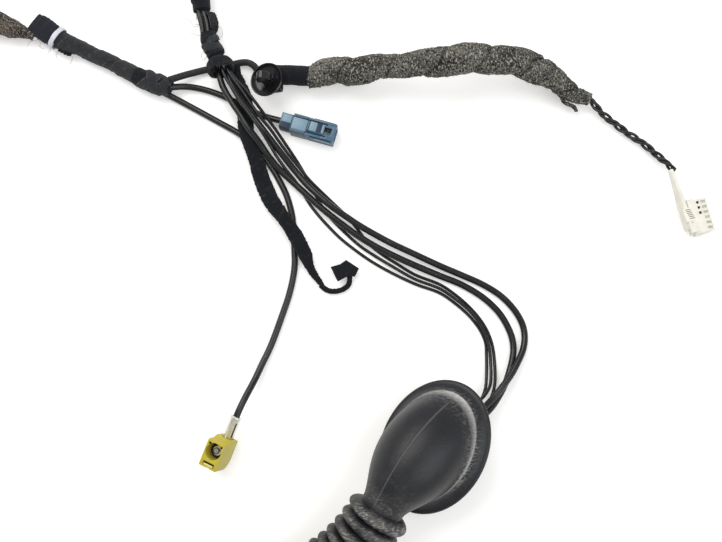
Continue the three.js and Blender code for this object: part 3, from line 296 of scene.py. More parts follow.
def link(name: str, mesh: bpy.types.Mesh) -> Piece:
    """Put a mesh into the scene as an object at the origin."""
    piece = bpy.data.objects.new(name, mesh)
    bpy.context.scene.collection.objects.link(piece)
    return piece


def select_only(*pieces: Piece) -> None:
    """Select these pieces alone, and make the first one active."""
    bpy.ops.object.select_all(action="DESELECT")
    for piece in pieces:
        piece.select_set(True)
    bpy.context.view_layer.objects.active = pieces[0]


def face_outwards(mesh: bpy.types.Mesh) -> None:
    """Turn a closed mesh's faces outwards."""
    shell = bmesh.new()
    shell.from_mesh(mesh)
    bmesh.ops.recalc_face_normals(shell, faces=shell.faces)
    shell.to_mesh(mesh)
    shell.free()


def soften_shading(piece: Piece, sharp_degrees: float = 40.0) -> None:
    """Shade a piece smooth, apart from edges sharper than an angle."""
    select_only(piece)
    bpy.ops.object.shade_smooth_by_angle(angle=math.radians(sharp_degrees))


def apply_bevel(piece: Piece, width: float, segments: int = 2) -> None:
    """Round a piece's sharp edges.

    Args:
        piece: The piece to round.
        width: Width of the rounding, in millimetres.
        segments: Faces across the rounding.
    """
    sharp_degrees = 35.0
    select_only(piece)
    bevel = piece.modifiers.new("rounding", "BEVEL")
    bevel.width = width * MM
    bevel.segments = segments
    bevel.limit_method = "ANGLE"
    bevel.angle_limit = math.radians(sharp_degrees)
    bevel.harden_normals = False
    bpy.ops.object.modifier_apply(modifier=bevel.name)


def skin(
    name: str,
    rings: Rings,
    joined: bool = False,
    values: dict[str, list[list[float]]] | None = None,
) -> Piece:
    """Skin a list of equal rings as one closed piece.

    Args:
        name: The piece's name.
        rings: Rings of points in layout millimetres.
        joined: True where the last ring meets the first, else both ends are capped.
        values: Named numbers for each ring's points, kept as attributes.

    Returns:
        The piece, with a UV map in millimetres round and along it.
    """
    sides = len(rings[0])
    points = [placed(point) for ring in rings for point in ring]
    faces: list[tuple[int, ...]] = []
    spans = len(rings) if joined else len(rings) - 1
    for ring in range(spans):
        here = ring * sides
        after = ((ring + 1) % len(rings)) * sides
        for side in range(sides):
            other = (side + 1) % sides
            faces.append((here + side, here + other, after + other, after + side))
    if not joined:
        faces.append(tuple(reversed(range(sides))))
        faces.append(tuple(range((len(rings) - 1) * sides, len(rings) * sides)))
    mesh = bpy.data.meshes.new(name)
    mesh.from_pydata(points, [], faces)
    girth = [0.0]
    widest = max(rings, key=lambda ring: (ring[0] - ring[sides // 2]).length)
    for a, b in zip(widest, [*widest[1:], widest[0]]):
        girth.append(girth[-1] + (b - a).length)
    reach = [0.0]
    for a, b in zip(rings, rings[1:]):
        middle_gap = sum((q - p).length for p, q in zip(a, b)) / sides
        reach.append(reach[-1] + middle_gap)
    reach.append(reach[-1] + 1)
    layer = mesh.uv_layers.new(name="wrap")
    for face_index in range(spans * sides):
        ring, side = divmod(face_index, sides)
        corners = ((side, ring), (side + 1, ring), (side + 1, ring + 1), (side, ring + 1))
        for loop, (u, v) in zip(mesh.polygons[face_index].loop_indices, corners):
            layer.data[loop].uv = (girth[u], reach[v])
    for label, numbers in (values or {}).items():
        attribute = mesh.attributes.new(label, "FLOAT", "POINT")
        attribute.data.foreach_set("value", [number for ring in numbers for number in ring])
    face_outwards(mesh)
    piece = link(name, mesh)
    soften_shading(piece)
    return piece


def circle(sides: int) -> list[float]:
    """Evenly spread angles of a full turn."""
    return [2 * math.pi * side / sides for side in range(sides)]


def lathed(pose: Matrix, profile: Sequence[tuple[float, float]], sides: int) -> Rings:
    """Turn a profile about the Z axis of a pose.

    Args:
        pose: The axes in the layout.
        profile: Radius and height of each ring.
        sides: Points round each ring.

    Returns:
        The rings.
    """
    return [
        [pose @ Vector((radius * math.cos(a), radius * math.sin(a), height)) for a in circle(sides)]
        for radius, height in profile
    ]


@dataclass
class Section:
    """Cross-section of a wrapped bar at one place."""

    width: float
    height: float
    turn: float = 0.0
    swell: float = 0.0
    # Share of a torn tape edge; on the fleece, the strength of the painted shade in its folds.
    fray_and_fold_shade: float = 0.0

    def point(self, centre: Vector, axes: tuple[Vector, Vector], angle: float, lift: float = 0.0) -> Vector:
        """A place on the section's outline, or above it.

        Args:
            centre: The section's middle.
            axes: Its sideways and raised directions.
            angle: Angle round it.
            lift: Height above the outline.

        Returns:
            The place in the layout.
        """
        side, raised = axes
        across = math.cos(angle) * (self.width / 2 + self.swell + lift)
        over = math.sin(angle) * (self.height / 2 + self.swell + lift)
        sideways = across * math.cos(self.turn) - over * math.sin(self.turn)
        upwards = across * math.sin(self.turn) + over * math.cos(self.turn)
        return centre + side * sideways + raised * upwards


def wrapped_bar(
    name: str,
    places: Route,
    shape: Shape,
    sides: int = 40,
    pace: float = 0.6,
) -> Piece:
    """Make a round or flattened bar along a route.

    Args:
        name: The piece's name.
        places: The route.
        shape: Gives the section for a share of the length, a distance and an angle.
        sides: Points round the bar.
        pace: Distance between rings, in millimetres.

    Returns:
        The closed piece, with an attribute that holds its torn-edge share, and on the fleece the strength of the
        painted shade in its folds.
    """
    track = Track(places, pace)
    rings: Rings = []
    fray_and_fold_shade: list[list[float]] = []
    count = len(track.points) - 1
    for index, centre in enumerate(track.points):
        at = index / count
        axes = track.axes(index)
        sections = [(angle, shape(at, at * track.length, angle)) for angle in circle(sides)]
        rings.append([section.point(centre, axes, angle) for angle, section in sections])
        fray_and_fold_shade.append([section.fray_and_fold_shade for _, section in sections])
    return skin(name, rings, values={"fray_and_fold_shade": fray_and_fold_shade})


@dataclass(frozen=True)
class Lap:
    """Overlap of spirally wound tape."""

    pitch: float = 9.0
    step: float = 0.28
    slant: float = 1.0
    seed: float = 0.0
    wrinkle: float = 0.12

    def at(self, distance: float, angle: float) -> tuple[float, float]:
        """Rise of the tape and how near its torn edge is.

        Args:
            distance: Distance along the bar.
            angle: Angle round it.

        Returns:
            Rise in millimetres, and a share that is 1 at the tape's edge.
        """
        round_x = math.cos(angle)
        round_y = math.sin(angle)
        drift = 0.3 * noise.noise(Vector((distance * 0.09, self.seed * 3.1, 0.5)))
        wander = 0.07 * noise.noise(Vector((distance * 0.35, round_x * 1.5, round_y * 1.5 + self.seed)))
        phase = (distance / self.pitch + self.slant * angle / (2 * math.pi) + drift + wander) % 1.0
        crease = noise.noise(Vector((distance * 0.5, round_x * 2, round_y * 2 + self.seed)))
        fine = noise.noise(Vector((distance * 1.3, round_x * 4, round_y * 4 - self.seed)))
        rise = self.step * (1 - phase) + self.wrinkle * (crease + 0.5 * fine)
        return rise, max(0.0, 1 - phase / 0.07)


# Finishes


class Tree:
    """A material that is put together from shader nodes."""

    def __init__(self, name: str, roughness: float, metallic: float = 0.0) -> None:
        """Start a material with its plain shader.

        Args:
            name: The material's name.
            roughness: The shader's roughness.
            metallic: The shader's metal share.
        """
        self.material = bpy.data.materials.new(name)
        self.material.use_nodes = True
        self.nodes = self.material.node_tree.nodes
        self.links = self.material.node_tree.links
        self.shader = self.nodes["Principled BSDF"]
        self.set("Roughness", roughness)
        self.set("Metallic", metallic)

    def set(self, label: str, value: float | tuple[float, ...]) -> None:
        """Set one of the shader's own values."""
        self.shader.inputs[label].default_value = value

    def coordinates(self, stretch: Place = (1.0, 1.0, 1.0), uv: bool = False) -> Socket:
        """Object coordinates, or the wrap's own map, stretched by three factors."""
        if uv:
            source = self.nodes.new("ShaderNodeUVMap")
            source.uv_map = "wrap"
            socket = source.outputs["UV"]
        else:
            source = self.nodes.new("ShaderNodeTexCoord")
            socket = source.outputs["Object"]
        mapping = self.nodes.new("ShaderNodeMapping")
        mapping.inputs["Scale"].default_value = stretch
        self.links.new(socket, mapping.inputs["Vector"])
        return mapping.outputs["Vector"]

    def noise(self, vector: Socket, scale: float, detail: float = 3.0) -> Socket:
        """Soft noise of a scale."""
        node = self.nodes.new("ShaderNodeTexNoise")
        node.inputs["Scale"].default_value = scale
        node.inputs["Detail"].default_value = detail
        self.links.new(vector, node.inputs["Vector"])
        return node.outputs["Fac"]

    def attribute(self, name: str) -> Socket:
        """A piece's own attribute."""
        node = self.nodes.new("ShaderNodeAttribute")
        node.attribute_name = name
        return node.outputs["Fac"]

    def range(
        self, value: Socket, low: float, high: float, to_low: float = 0.0, to_high: float = 1.0
    ) -> Socket:
        """Clamp a value between two limits and stretch it to two others."""
        node = self.nodes.new("ShaderNodeMapRange")
        for label, number in (
            ("From Min", low), ("From Max", high), ("To Min", to_low), ("To Max", to_high),
        ):
            node.inputs[label].default_value = number
        self.links.new(value, node.inputs["Value"])
        return node.outputs["Result"]

    def math(self, kind: str, a: Socket, b: Socket | float) -> Socket:
        """Sum, product or other result of two values."""
        node = self.nodes.new("ShaderNodeMath")
        node.operation = kind
        self.links.new(a, node.inputs[0])
        if isinstance(b, (int, float)):
            node.inputs[1].default_value = b
        else:
            self.links.new(b, node.inputs[1])
        return node.outputs[0]

    def blend(
        self, share: Socket, a: Color | Socket, b: Color | Socket
    ) -> Socket:
        """Mix two colours by a share."""
        node = self.nodes.new("ShaderNodeMix")
        node.data_type = "RGBA"
        self.links.new(share, node.inputs[0])
        for slot, value in ((6, a), (7, b)):
            if isinstance(value, tuple):
                node.inputs[slot].default_value = (*value, 1.0)
            else:
                self.links.new(value, node.inputs[slot])
        return node.outputs[2]

    def shades(self, share: Socket, color: Color, low: float, high: float) -> Socket:
        """Vary a colour between a darker and a lighter shade of itself."""
        return self.blend(share, scaled(color, low), scaled(color, high))

    def wave(self, vector: Socket, scale: float, direction: str) -> Socket:
        """Even bands across one direction."""
        node = self.nodes.new("ShaderNodeTexWave")
        node.bands_direction = direction
        node.inputs["Scale"].default_value = scale
        node.inputs["Distortion"].default_value = 0.6
        self.links.new(vector, node.inputs["Vector"])
        return node.outputs["Fac"]

    def color(self, socket: Socket) -> None:
        """Set the shader's colour."""
        self.links.new(socket, self.shader.inputs["Base Color"])

    def rough(self, socket: Socket) -> None:
        """Set the shader's roughness."""
        self.links.new(socket, self.shader.inputs["Roughness"])

    def bump(self, height: Socket, depth: float) -> None:
        """Raise the surface by a height, with its depth in millimetres."""
        node = self.nodes.new("ShaderNodeBump")
        node.inputs["Distance"].default_value = depth * MM
        node.inputs["Strength"].default_value = 1.0
        self.links.new(height, node.inputs["Height"])
        self.links.new(node.outputs["Normal"], self.shader.inputs["Normal"])


MADE: dict[str, bpy.types.Material] = {}


@dataclass(frozen=True)
class Finish:
    """A named surface finish."""

    name: str
    color: Color
    roughness: float

    def material(self) -> bpy.types.Material:
        """The finish's material, made once."""
        if self.name not in MADE:
            MADE[self.name] = self.make()
        return MADE[self.name]

    def make(self) -> bpy.types.Material:
        """Build the material."""
        raise NotImplementedError


def scaled(color: Color, factor: float) -> Color:
    """A colour made lighter or darker."""
    return (color[0] * factor, color[1] * factor, color[2] * factor)


@dataclass(frozen=True)
class Rubber(Finish):
    """Moulded black rubber with dust in its folds, scuffs, and a ridge line of wear and painted highlight."""

    dust: Color = (0.105, 0.1, 0.09)
    # Light colour of the scuffs, also painted along the ridge line as a highlight.
    wear_and_highlight: Color = (0.46, 0.45, 0.43)
    fleck: Color = (0.3, 0.29, 0.265)

    def make(self) -> bpy.types.Material:
        """Build the material."""
        tree = Tree(self.name, self.roughness)
        place = tree.coordinates()
        mottle = tree.noise(place, 60.0, 4.0)
        patches = tree.noise(place, 170.0, 5.0)
        grain = tree.noise(place, 1600.0, 2.0)
        streaks = tree.noise(tree.coordinates((1.0, 2.6, 1.0)), 520.0, 5.0)
        base = tree.shades(mottle, self.color, 0.7, 1.4)
        dust = tree.attribute("dust")
        dusty = tree.math("MULTIPLY", dust, tree.range(patches, 0.36, 0.62, 0.08, 1.0))
        base = tree.blend(dusty, base, self.dust)
        flecks = tree.math("MULTIPLY", dusty, tree.range(streaks, 0.54, 0.68))
        base = tree.blend(flecks, base, self.fleck)
        wear_and_ridge_highlight = tree.math("MULTIPLY", tree.attribute("scuff"), tree.range(streaks, 0.46, 0.64))
        # Painted highlight: the ridge line takes the light scuff colour, on top of its wear.
        line = tree.math("MULTIPLY", tree.attribute("ridge"), tree.range(streaks, 0.2, 0.55, 0.45, 1.0))
        wear_and_ridge_highlight = tree.math("MAXIMUM", wear_and_ridge_highlight, line)
        tree.color(tree.blend(wear_and_ridge_highlight, base, self.wear_and_highlight))
        tree.rough(tree.range(tree.math("ADD", wear_and_ridge_highlight, dusty), 0.0, 0.8, self.roughness, 0.9))
        rubbed = tree.math("ADD", grain, wear_and_ridge_highlight)
        tree.bump(tree.math("ADD", rubbed, tree.math("MULTIPLY", dusty, streaks)), 0.1)
        tree.set("Specular IOR Level", 0.4)
        return tree.material


@dataclass(frozen=True)
class Jacket(Finish):
    """Smooth cable jacket with a soft gloss and a few rubbed specks."""

    rubbed: Color = (0.09, 0.09, 0.088)

    def make(self) -> bpy.types.Material:
        """Build the material."""
        tree = Tree(self.name, self.roughness)
        place = tree.coordinates()
        film = tree.noise(place, 180.0, 4.0)
        rub = tree.noise(tree.coordinates((1.6, 1.0, 1.0)), 700.0, 4.0)
        base = tree.shades(film, self.color, 0.6, 1.5)
        tree.color(tree.blend(tree.range(rub, 0.63, 0.75, 0.0, 0.5), base, self.rubbed))
        tree.rough(tree.range(film, 0.3, 0.7, self.roughness - 0.06, self.roughness + 0.08))
        tree.set("Specular IOR Level", 0.42)
        tree.bump(tree.noise(place, 900.0), 0.05)
        return tree.material


@dataclass(frozen=True)
class ClothTape(Finish):
    """Woven cloth tape with a fuzzy torn edge."""

    lint: Color = (0.05, 0.052, 0.058)
    gloss: float = 0.22

    def make(self) -> bpy.types.Material:
        """Build the material."""
        tree = Tree(self.name, self.roughness)
        wrap = tree.coordinates(uv=True)
        weave = tree.math("ADD", tree.wave(wrap, 0.7, "X"), tree.wave(wrap, 0.7, "Y"))
        place = tree.coordinates()
        fuzz = tree.noise(place, 700.0, 4.0)
        cloud = tree.noise(place, 90.0)
        base = tree.shades(cloud, self.color, 0.6, 1.5)
        base = tree.blend(tree.range(fuzz, 0.58, 0.74, 0.0, 0.35), base, self.lint)
        edge = tree.math("MULTIPLY", tree.attribute("fray_and_fold_shade"), tree.range(fuzz, 0.42, 0.66, 0.0, 0.7))
        tree.color(tree.blend(edge, base, self.lint))
        tree.bump(tree.math("ADD", weave, fuzz), 0.12)
        tree.set("Specular IOR Level", self.gloss)
        tree.set("Sheen Weight", 0.05)
        return tree.material


@dataclass(frozen=True)
class Fleece(Finish):
    """Needled fleece of light and dark fibres, with painted shade in its folds."""

    light: Color = (0.42, 0.4, 0.345)
    # The dark colour serves both the dark fibres and the painted shade in the folds.
    dark: Color = (0.008, 0.008, 0.0075)

    def make(self) -> bpy.types.Material:
        """Build the material."""
        tree = Tree(self.name, self.roughness)
        tangle = tree.noise(tree.coordinates((1.0, 2.2, 1.4)), 680.0, 4.0)
        cross = tree.noise(tree.coordinates((2.2, 1.0, 1.3)), 780.0, 4.0)
        cloud = tree.noise(tree.coordinates(), 90.0, 3.0)
        base = tree.shades(tree.range(cloud, 0.35, 0.65), self.color, 0.4, 1.6)
        base = tree.blend(tree.range(tangle, 0.53, 0.38), base, self.dark)
        base = tree.blend(tree.range(cross, 0.53, 0.66, 0.0, 0.9), base, self.light)
        # Painted shade: the folds darken towards the dark colour.
        fold_shade = tree.math("MULTIPLY", tree.attribute("fray_and_fold_shade"), tree.range(tangle, 0.25, 0.6, 1.0, 0.55))
        tree.color(tree.blend(fold_shade, base, self.dark))
        tree.bump(tree.math("ADD", tangle, cross), 0.6)
        tree.set("Specular IOR Level", 0.2)
        return tree.material


@dataclass(frozen=True)
class Strand(Finish):
    """Loose fibres, light or dark by strand."""

    light: Color = (0.4, 0.39, 0.37)

    def make(self) -> bpy.types.Material:
        """Build the material."""
        tree = Tree(self.name, self.roughness)
        tree.color(tree.blend(tree.attribute("shade"), self.color, self.light))
        return tree.material


@dataclass(frozen=True)
class Moulded(Finish):
    """Moulded plastic with a fine grain and slight uneven colour."""

    def make(self) -> bpy.types.Material:
        """Build the material."""
        tree = Tree(self.name, self.roughness)
        place = tree.coordinates()
        film = tree.noise(place, 240.0, 3.0)
        tree.color(tree.shades(film, self.color, 0.86, 1.14))
        tree.rough(tree.range(film, 0.3, 0.7, self.roughness - 0.06, self.roughness + 0.08))
        tree.bump(tree.noise(place, 2200.0, 2.0), 0.03)
        return tree.material


@dataclass(frozen=True)
class Plated(Finish):
    """Plated contact metal."""

    def make(self) -> bpy.types.Material:
        """Build the material."""
        tree = Tree(self.name, self.roughness, metallic=1.0)
        place = tree.coordinates()
        film = tree.noise(place, 900.0, 4.0)
        tree.color(tree.shades(film, self.color, 0.7, 1.0))
        tree.rough(tree.range(film, 0.3, 0.7, self.roughness - 0.08, self.roughness + 0.12))
        tree.bump(film, 0.03)
        return tree.material


BOOT_RUBBER = Rubber("boot_rubber", (0.0075, 0.0082, 0.0108), 0.4)
CABLE_JACKET = Jacket("cable_jacket", (0.0075, 0.008, 0.0085), 0.25)
FLAG_TAPE = ClothTape("flag_tape", (0.0115, 0.0135, 0.0205), 0.85, gloss=0.3)
CLIP_PLASTIC = Moulded("clip_plastic", (0.009, 0.009, 0.01), 0.2)
# Near-white matte paint on the yellow connector's outer contact, standing in for the plated metal's bright reflection.
CONTACT_REFLECTION = Moulded("contact_reflection", (0.85, 0.83, 0.8), 0.35)
CLOTH_TAPE = ClothTape("cloth_tape", (0.006, 0.0074, 0.0105), 0.9)
DUSTY_TAPE = ClothTape("dusty_tape", (0.012, 0.013, 0.015), 0.72, (0.105, 0.106, 0.112), 0.42)
GREY_FLEECE = Fleece("grey_fleece", (0.098, 0.094, 0.08), 0.95)
BROWN_FLEECE = Fleece("brown_fleece", (0.09, 0.076, 0.06), 0.95, light=(0.3, 0.26, 0.21))
FIBRES = Strand("fibres", (0.03, 0.03, 0.031), 0.8)
BLACK_PLASTIC = Moulded("black_plastic", (0.017, 0.017, 0.018), 0.42)
BAND_FILM = Moulded("band_film", (0.57, 0.57, 0.63), 0.45)
IVORY_PLASTIC = Moulded("ivory_plastic", (0.78, 0.75, 0.66), 0.42)
BLUE_PLASTIC = Moulded("blue_plastic", (0.045, 0.115, 0.19), 0.36)
PALE_BLUE = Moulded("pale_blue", (0.165, 0.265, 0.335), 0.38)
GREY_BLUE = Moulded("grey_blue", (0.09, 0.15, 0.19), 0.42)
# Deep blue painted as shade in the blue connector's gaps and grooves and on its side away from the key lamp; it also
# darkens the front band and the rear square.
DEEP_BLUE_SHADE = Moulded("deep_blue_shade", (0.006, 0.02, 0.042), 0.6)
YELLOW_PLASTIC = Moulded("yellow_plastic", (0.48, 0.4, 0.028), 0.4)
SOCKET_SHADE = Moulded("socket_shade", (0.004, 0.004, 0.004), 0.7)
SLOT_SHADE = Moulded("slot_shade", (0.56, 0.58, 0.46), 0.6)
RIB_SHADE = Moulded("rib_shade", (0.16, 0.15, 0.1), 0.6)
TEAL_SHADE = Moulded("teal_shade", (0.02, 0.062, 0.075), 0.45)
# Dark brown painted as shade in the yellow socket's floor, round its insulator, in its key notches and in its lower
# slot.
SOCKET_SHADE_BROWN = Moulded("socket_shade_brown", (0.022, 0.011, 0.003), 0.6)
SHADED_YELLOW = Moulded("shaded_yellow", (0.36, 0.29, 0.025), 0.5)
# Light yellow bar and foot painted as highlights beside the yellow connector's lower slot.
HIGHLIGHT_YELLOW = Moulded("highlight_yellow", (0.72, 0.64, 0.22), 0.4)
TIN = Plated("tin", (0.72, 0.7, 0.63), 0.3)
FERRULE_TIN = Plated("ferrule_tin", (0.92, 0.89, 0.78), 0.42)
BRASS = Plated("brass", (0.8, 0.65, 0.38), 0.28)
INSULATOR = Moulded("insulator", (0.82, 0.8, 0.74), 0.4)


def dress(piece: Piece, finish: Finish, slot: Slot, *nodes: str) -> Piece:
    """Give a piece its finish, its body and the nodes that it stands for.

    Args:
        piece: The finished piece.
        finish: Its finish.
        slot: The record's slot for that finish; not used.
        nodes: CAD nodes that the piece replaces.

    Returns:
        The same piece.
    """
    piece.data.materials.clear()
    piece.data.materials.append(finish.material())
    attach(piece, "root")
    if nodes:
        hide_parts(*nodes)
    LOG.info("piece %s", piece.name)
    return piece


def fine_copy(node: str, name: str, rounding: float = 0.0) -> Piece:
    """Copy a node's solid as one welded mesh with rounded edges.

    Args:
        node: The node.
        name: The new piece's name.
        rounding: Width of the rounded edges, in millimetres.

    Returns:
        The new piece.
    """
    weld = 0.004
    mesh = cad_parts[node].data.copy()
    mesh.name = name
    shell = bmesh.new()
    shell.from_mesh(mesh)
    bmesh.ops.remove_doubles(shell, verts=shell.verts, dist=weld * MM)
    bmesh.ops.dissolve_limit(shell, angle_limit=math.radians(1.5), verts=shell.verts, edges=shell.edges)
    shell.to_mesh(mesh)
    shell.free()
    mesh.materials.clear()
    piece = link(name, mesh)
    if rounding:
        apply_bevel(piece, rounding)
    soften_shading(piece)
    return piece


def slab(
    name: str, size: Place, centre: Place, pose: Matrix, rounding: float, segments: int = 3
) -> Piece:
    """Make a rounded plate in a connector's own axes.

    Args:
        name: The piece's name.
        size: Its length, width and height in millimetres.
        centre: Its middle in the connector's axes.
        pose: The connector's axes in the layout.
        rounding: Width of its rounded edges.
        segments: Faces across the rounding.

    Returns:
        The new piece.
    """
    bpy.ops.mesh.primitive_cube_add(size=1.0)
    piece = bpy.context.active_object
    piece.name = name
    for corner in piece.data.vertices:
        local = Vector([c * s + m for c, s, m in zip(corner.co, size, centre)])
        corner.co = placed(pose @ local)
    apply_bevel(piece, rounding, segments)
    soften_shading(piece)
    return piece


Row = tuple[str, Place, Place, Finish, Slot]


def fittings(pose: Matrix, rows: Sequence[Row], rounding: float = 0.06) -> list[Piece]:
    """Make a connector's small plates and ridges, and the plates painted as shade in its recesses.

    Args:
        pose: The connector's axes in the layout.
        rows: Name, size, middle, finish and slot of each.
        rounding: Width of their rounded edges, in millimetres.

    Returns:
        The dressed pieces.
    """
    return [
        dress(slab(name, size, centre, pose, rounding, 2), finish, slot)
        for name, size, centre, finish, slot in rows
    ]


def reshape(piece: Piece, pose: Matrix, change: Callable[[Vector], Vector]) -> Piece:
    """Move a piece's points in a connector's own axes.

    Args:
        piece: The piece.
        pose: The connector's axes in the layout.
        change: Gives a point's new place.

    Returns:
        The same piece.
    """
    back = pose.inverted()
    for corner in piece.data.vertices:
        corner.co = placed(pose @ change(back @ (corner.co / MM + MIDDLE)))
    return piece


def lengthened(places: Route, start: float = 0.0, end: float = 0.0) -> Route:
    """Move a route's first and last places outwards along it, in millimetres."""
    points = [Vector(place) for place in places]
    points[0] += (points[0] - points[1]).normalized() * start
    points[-1] += (points[-1] - points[-2]).normalized() * end
    return [tuple(point) for point in points]


@dataclass(frozen=True)
class Ribbon:
    """One stretch of tape wound over a wrapped bar."""

    start: float
    turn: float
    sweep: float
    advance: float
    width: float
    rise: float = 0.4
    ragged: float = 0.3
    sunk: float = 0.3

    def build(self, name: str, places: Route, shape: Shape) -> Piece:
        """Wind the ribbon.

        Args:
            name: The piece's name.
            places: The bar's route.
            shape: The bar's section.

        Returns:
            The closed ribbon.
        """
        track = Track(places, 0.5)
        steps = max(12, int(abs(self.sweep) / 6))
        across_steps = 6
        mean_radius = shape(0.5, track.length / 2, 0.0).width / 2
        run = Vector((self.advance, mean_radius * math.radians(self.sweep))).normalized()
        rings: Rings = []
        fray_and_fold_shade: list[list[float]] = []
        for step in range(steps + 1):
            share = step / steps
            ring: list[Vector] = []
            frayed: list[float] = []
            for over in (1, -1):
                for slot in range(across_steps + 1):
                    spread_at = slot / across_steps if over > 0 else 1 - slot / across_steps
                    edge = 2 * spread_at - 1
                    torn = self.ragged * noise.noise(Vector((share * self.width * 2.3, edge * 4, self.start)))
                    offset = edge * self.width / 2 + torn
                    distance = self.start + self.advance * share + offset * run.y
                    angle = math.radians(self.turn + self.sweep * share) - offset * run.x / mean_radius
                    lift = self.rise * (1 - 0.5 * abs(edge) ** 6) if over > 0 else -self.sunk
                    ring.append(self.spot(track, shape, distance, angle, lift))
                    frayed.append(max(0.0, abs(edge) * 6 - 5))
            rings.append(ring)
            fray_and_fold_shade.append(frayed)
        return skin(name, rings, values={"fray_and_fold_shade": fray_and_fold_shade})

    @staticmethod
    def spot(track: Track, shape: Shape, distance: float, angle: float, lift: float) -> Vector:
        """A place above the bar's surface, at an angle that doesn't turn with the bar."""
        count = len(track.points) - 1
        at = min(max(distance / track.length, 0.0), 1.0)
        index = min(int(at * count), count - 1)
        centre = track.points[index].lerp(track.points[index + 1], at * count - index)
        section = shape(at, distance, angle)
        section.turn = 0.0
        return section.point(centre, track.axes(index), angle, lift)


def wind(name: str, ribbons: Sequence[Ribbon], places: Route, shape: Shape) -> None:
    """Wind ribbons of dusty tape over a bar."""
    for number, ribbon in enumerate(ribbons):
        dress(ribbon.build(f"{name}_{number}", places, shape), DUSTY_TAPE, Slot.TAPE)


def stray_threads(name: str, roots: Route, seed: int, each: int, reach: float) -> None:
    """Draw loose threads pulled out of torn tape.

    Args:
        name: The new piece's name.
        roots: Where threads start, in the layout.
        seed: Seed of their bends.
        each: How many start at each root.
        reach: Their length, in millimetres.
    """
    draw = random.Random(seed)
    steps = 5
    diameter = 0.14
    tubes: list[Piece] = []
    for root in roots:
        for _ in range(each):
            heading = draw.uniform(0, 2 * math.pi)
            places = [Vector(root)]
            for _ in range(steps):
                heading += draw.uniform(-0.9, 0.9)
                run = Vector((math.cos(heading), math.sin(heading), draw.uniform(-0.15, 0.15)))
                places.append(places[-1] + run * reach / steps * draw.uniform(0.6, 1.2))
            label = f"{name}_{len(tubes)}"
            tubes.append(wrapped_bar(label, places, lambda *_: Section(diameter, diameter), 4, 0.5))
    select_only(*tubes)
    bpy.ops.object.join()
    tubes[0].name = name
    dress(tubes[0], CLOTH_TAPE, Slot.TAPE)


# Cables


@dataclass
class Cable:
    """One free cable or lead."""

    name: str
    diameter: float
    places: Route
    far_end: FarEnd
    finish: Finish = CABLE_JACKET
    slot: Slot = Slot.JACKET
    stiffness: str = "medium"

    def lay(self) -> tuple[Piece, Track]:
        """Lay the cable along its route.

        Returns:
            The cable's curve and the line that it follows.
        """
        track = Track(self.places, 1.2)
        curve = bpy.data.curves.new(self.name, "CURVE")
        curve.dimensions = "3D"
        curve.bevel_depth = self.diameter / 2 * MM
        curve.bevel_resolution = 4
        curve.use_fill_caps = True
        spline = curve.splines.new("POLY")
        spline.points.add(len(track.points) - 1)
        for knot, point in zip(spline.points, track.points):
            knot.co = (*placed(point), 1.0)
        spline.use_smooth = True
        piece = bpy.data.objects.new(f"{self.name}_jacket", curve)
        bpy.context.scene.collection.objects.link(piece)
        return piece, track

    def build(self, carried: Sequence[Piece] = ()) -> None:
        """Args:
            carried: Pieces on the cable; not used.
        """
        piece, track = self.lay()
        dress(piece, self.finish, self.slot, self.name)
        tuple(placed(track.points[0]))


COAX = 3.1
THIN_WIRE = 1.5
TWISTED_WIRE = 1.4
CLIP_LEAD = 3.3


@dataclass
class MainBundle:
    """Two coaxial cables and three thin wires between the collar and the boot."""

    def build(self) -> None:
        """Lay the five cables."""
        for name in ("coax_lower", "coax_upper"):
            Cable(name, COAX, ROUTES[name], FarEnd.OBJECT).build()
        for name in ("wire_middle", "wire_right", "wire_outer"):
            Cable(name, THIN_WIRE, ROUTES[name], FarEnd.OBJECT, stiffness="limp").build()


# Rubber boot


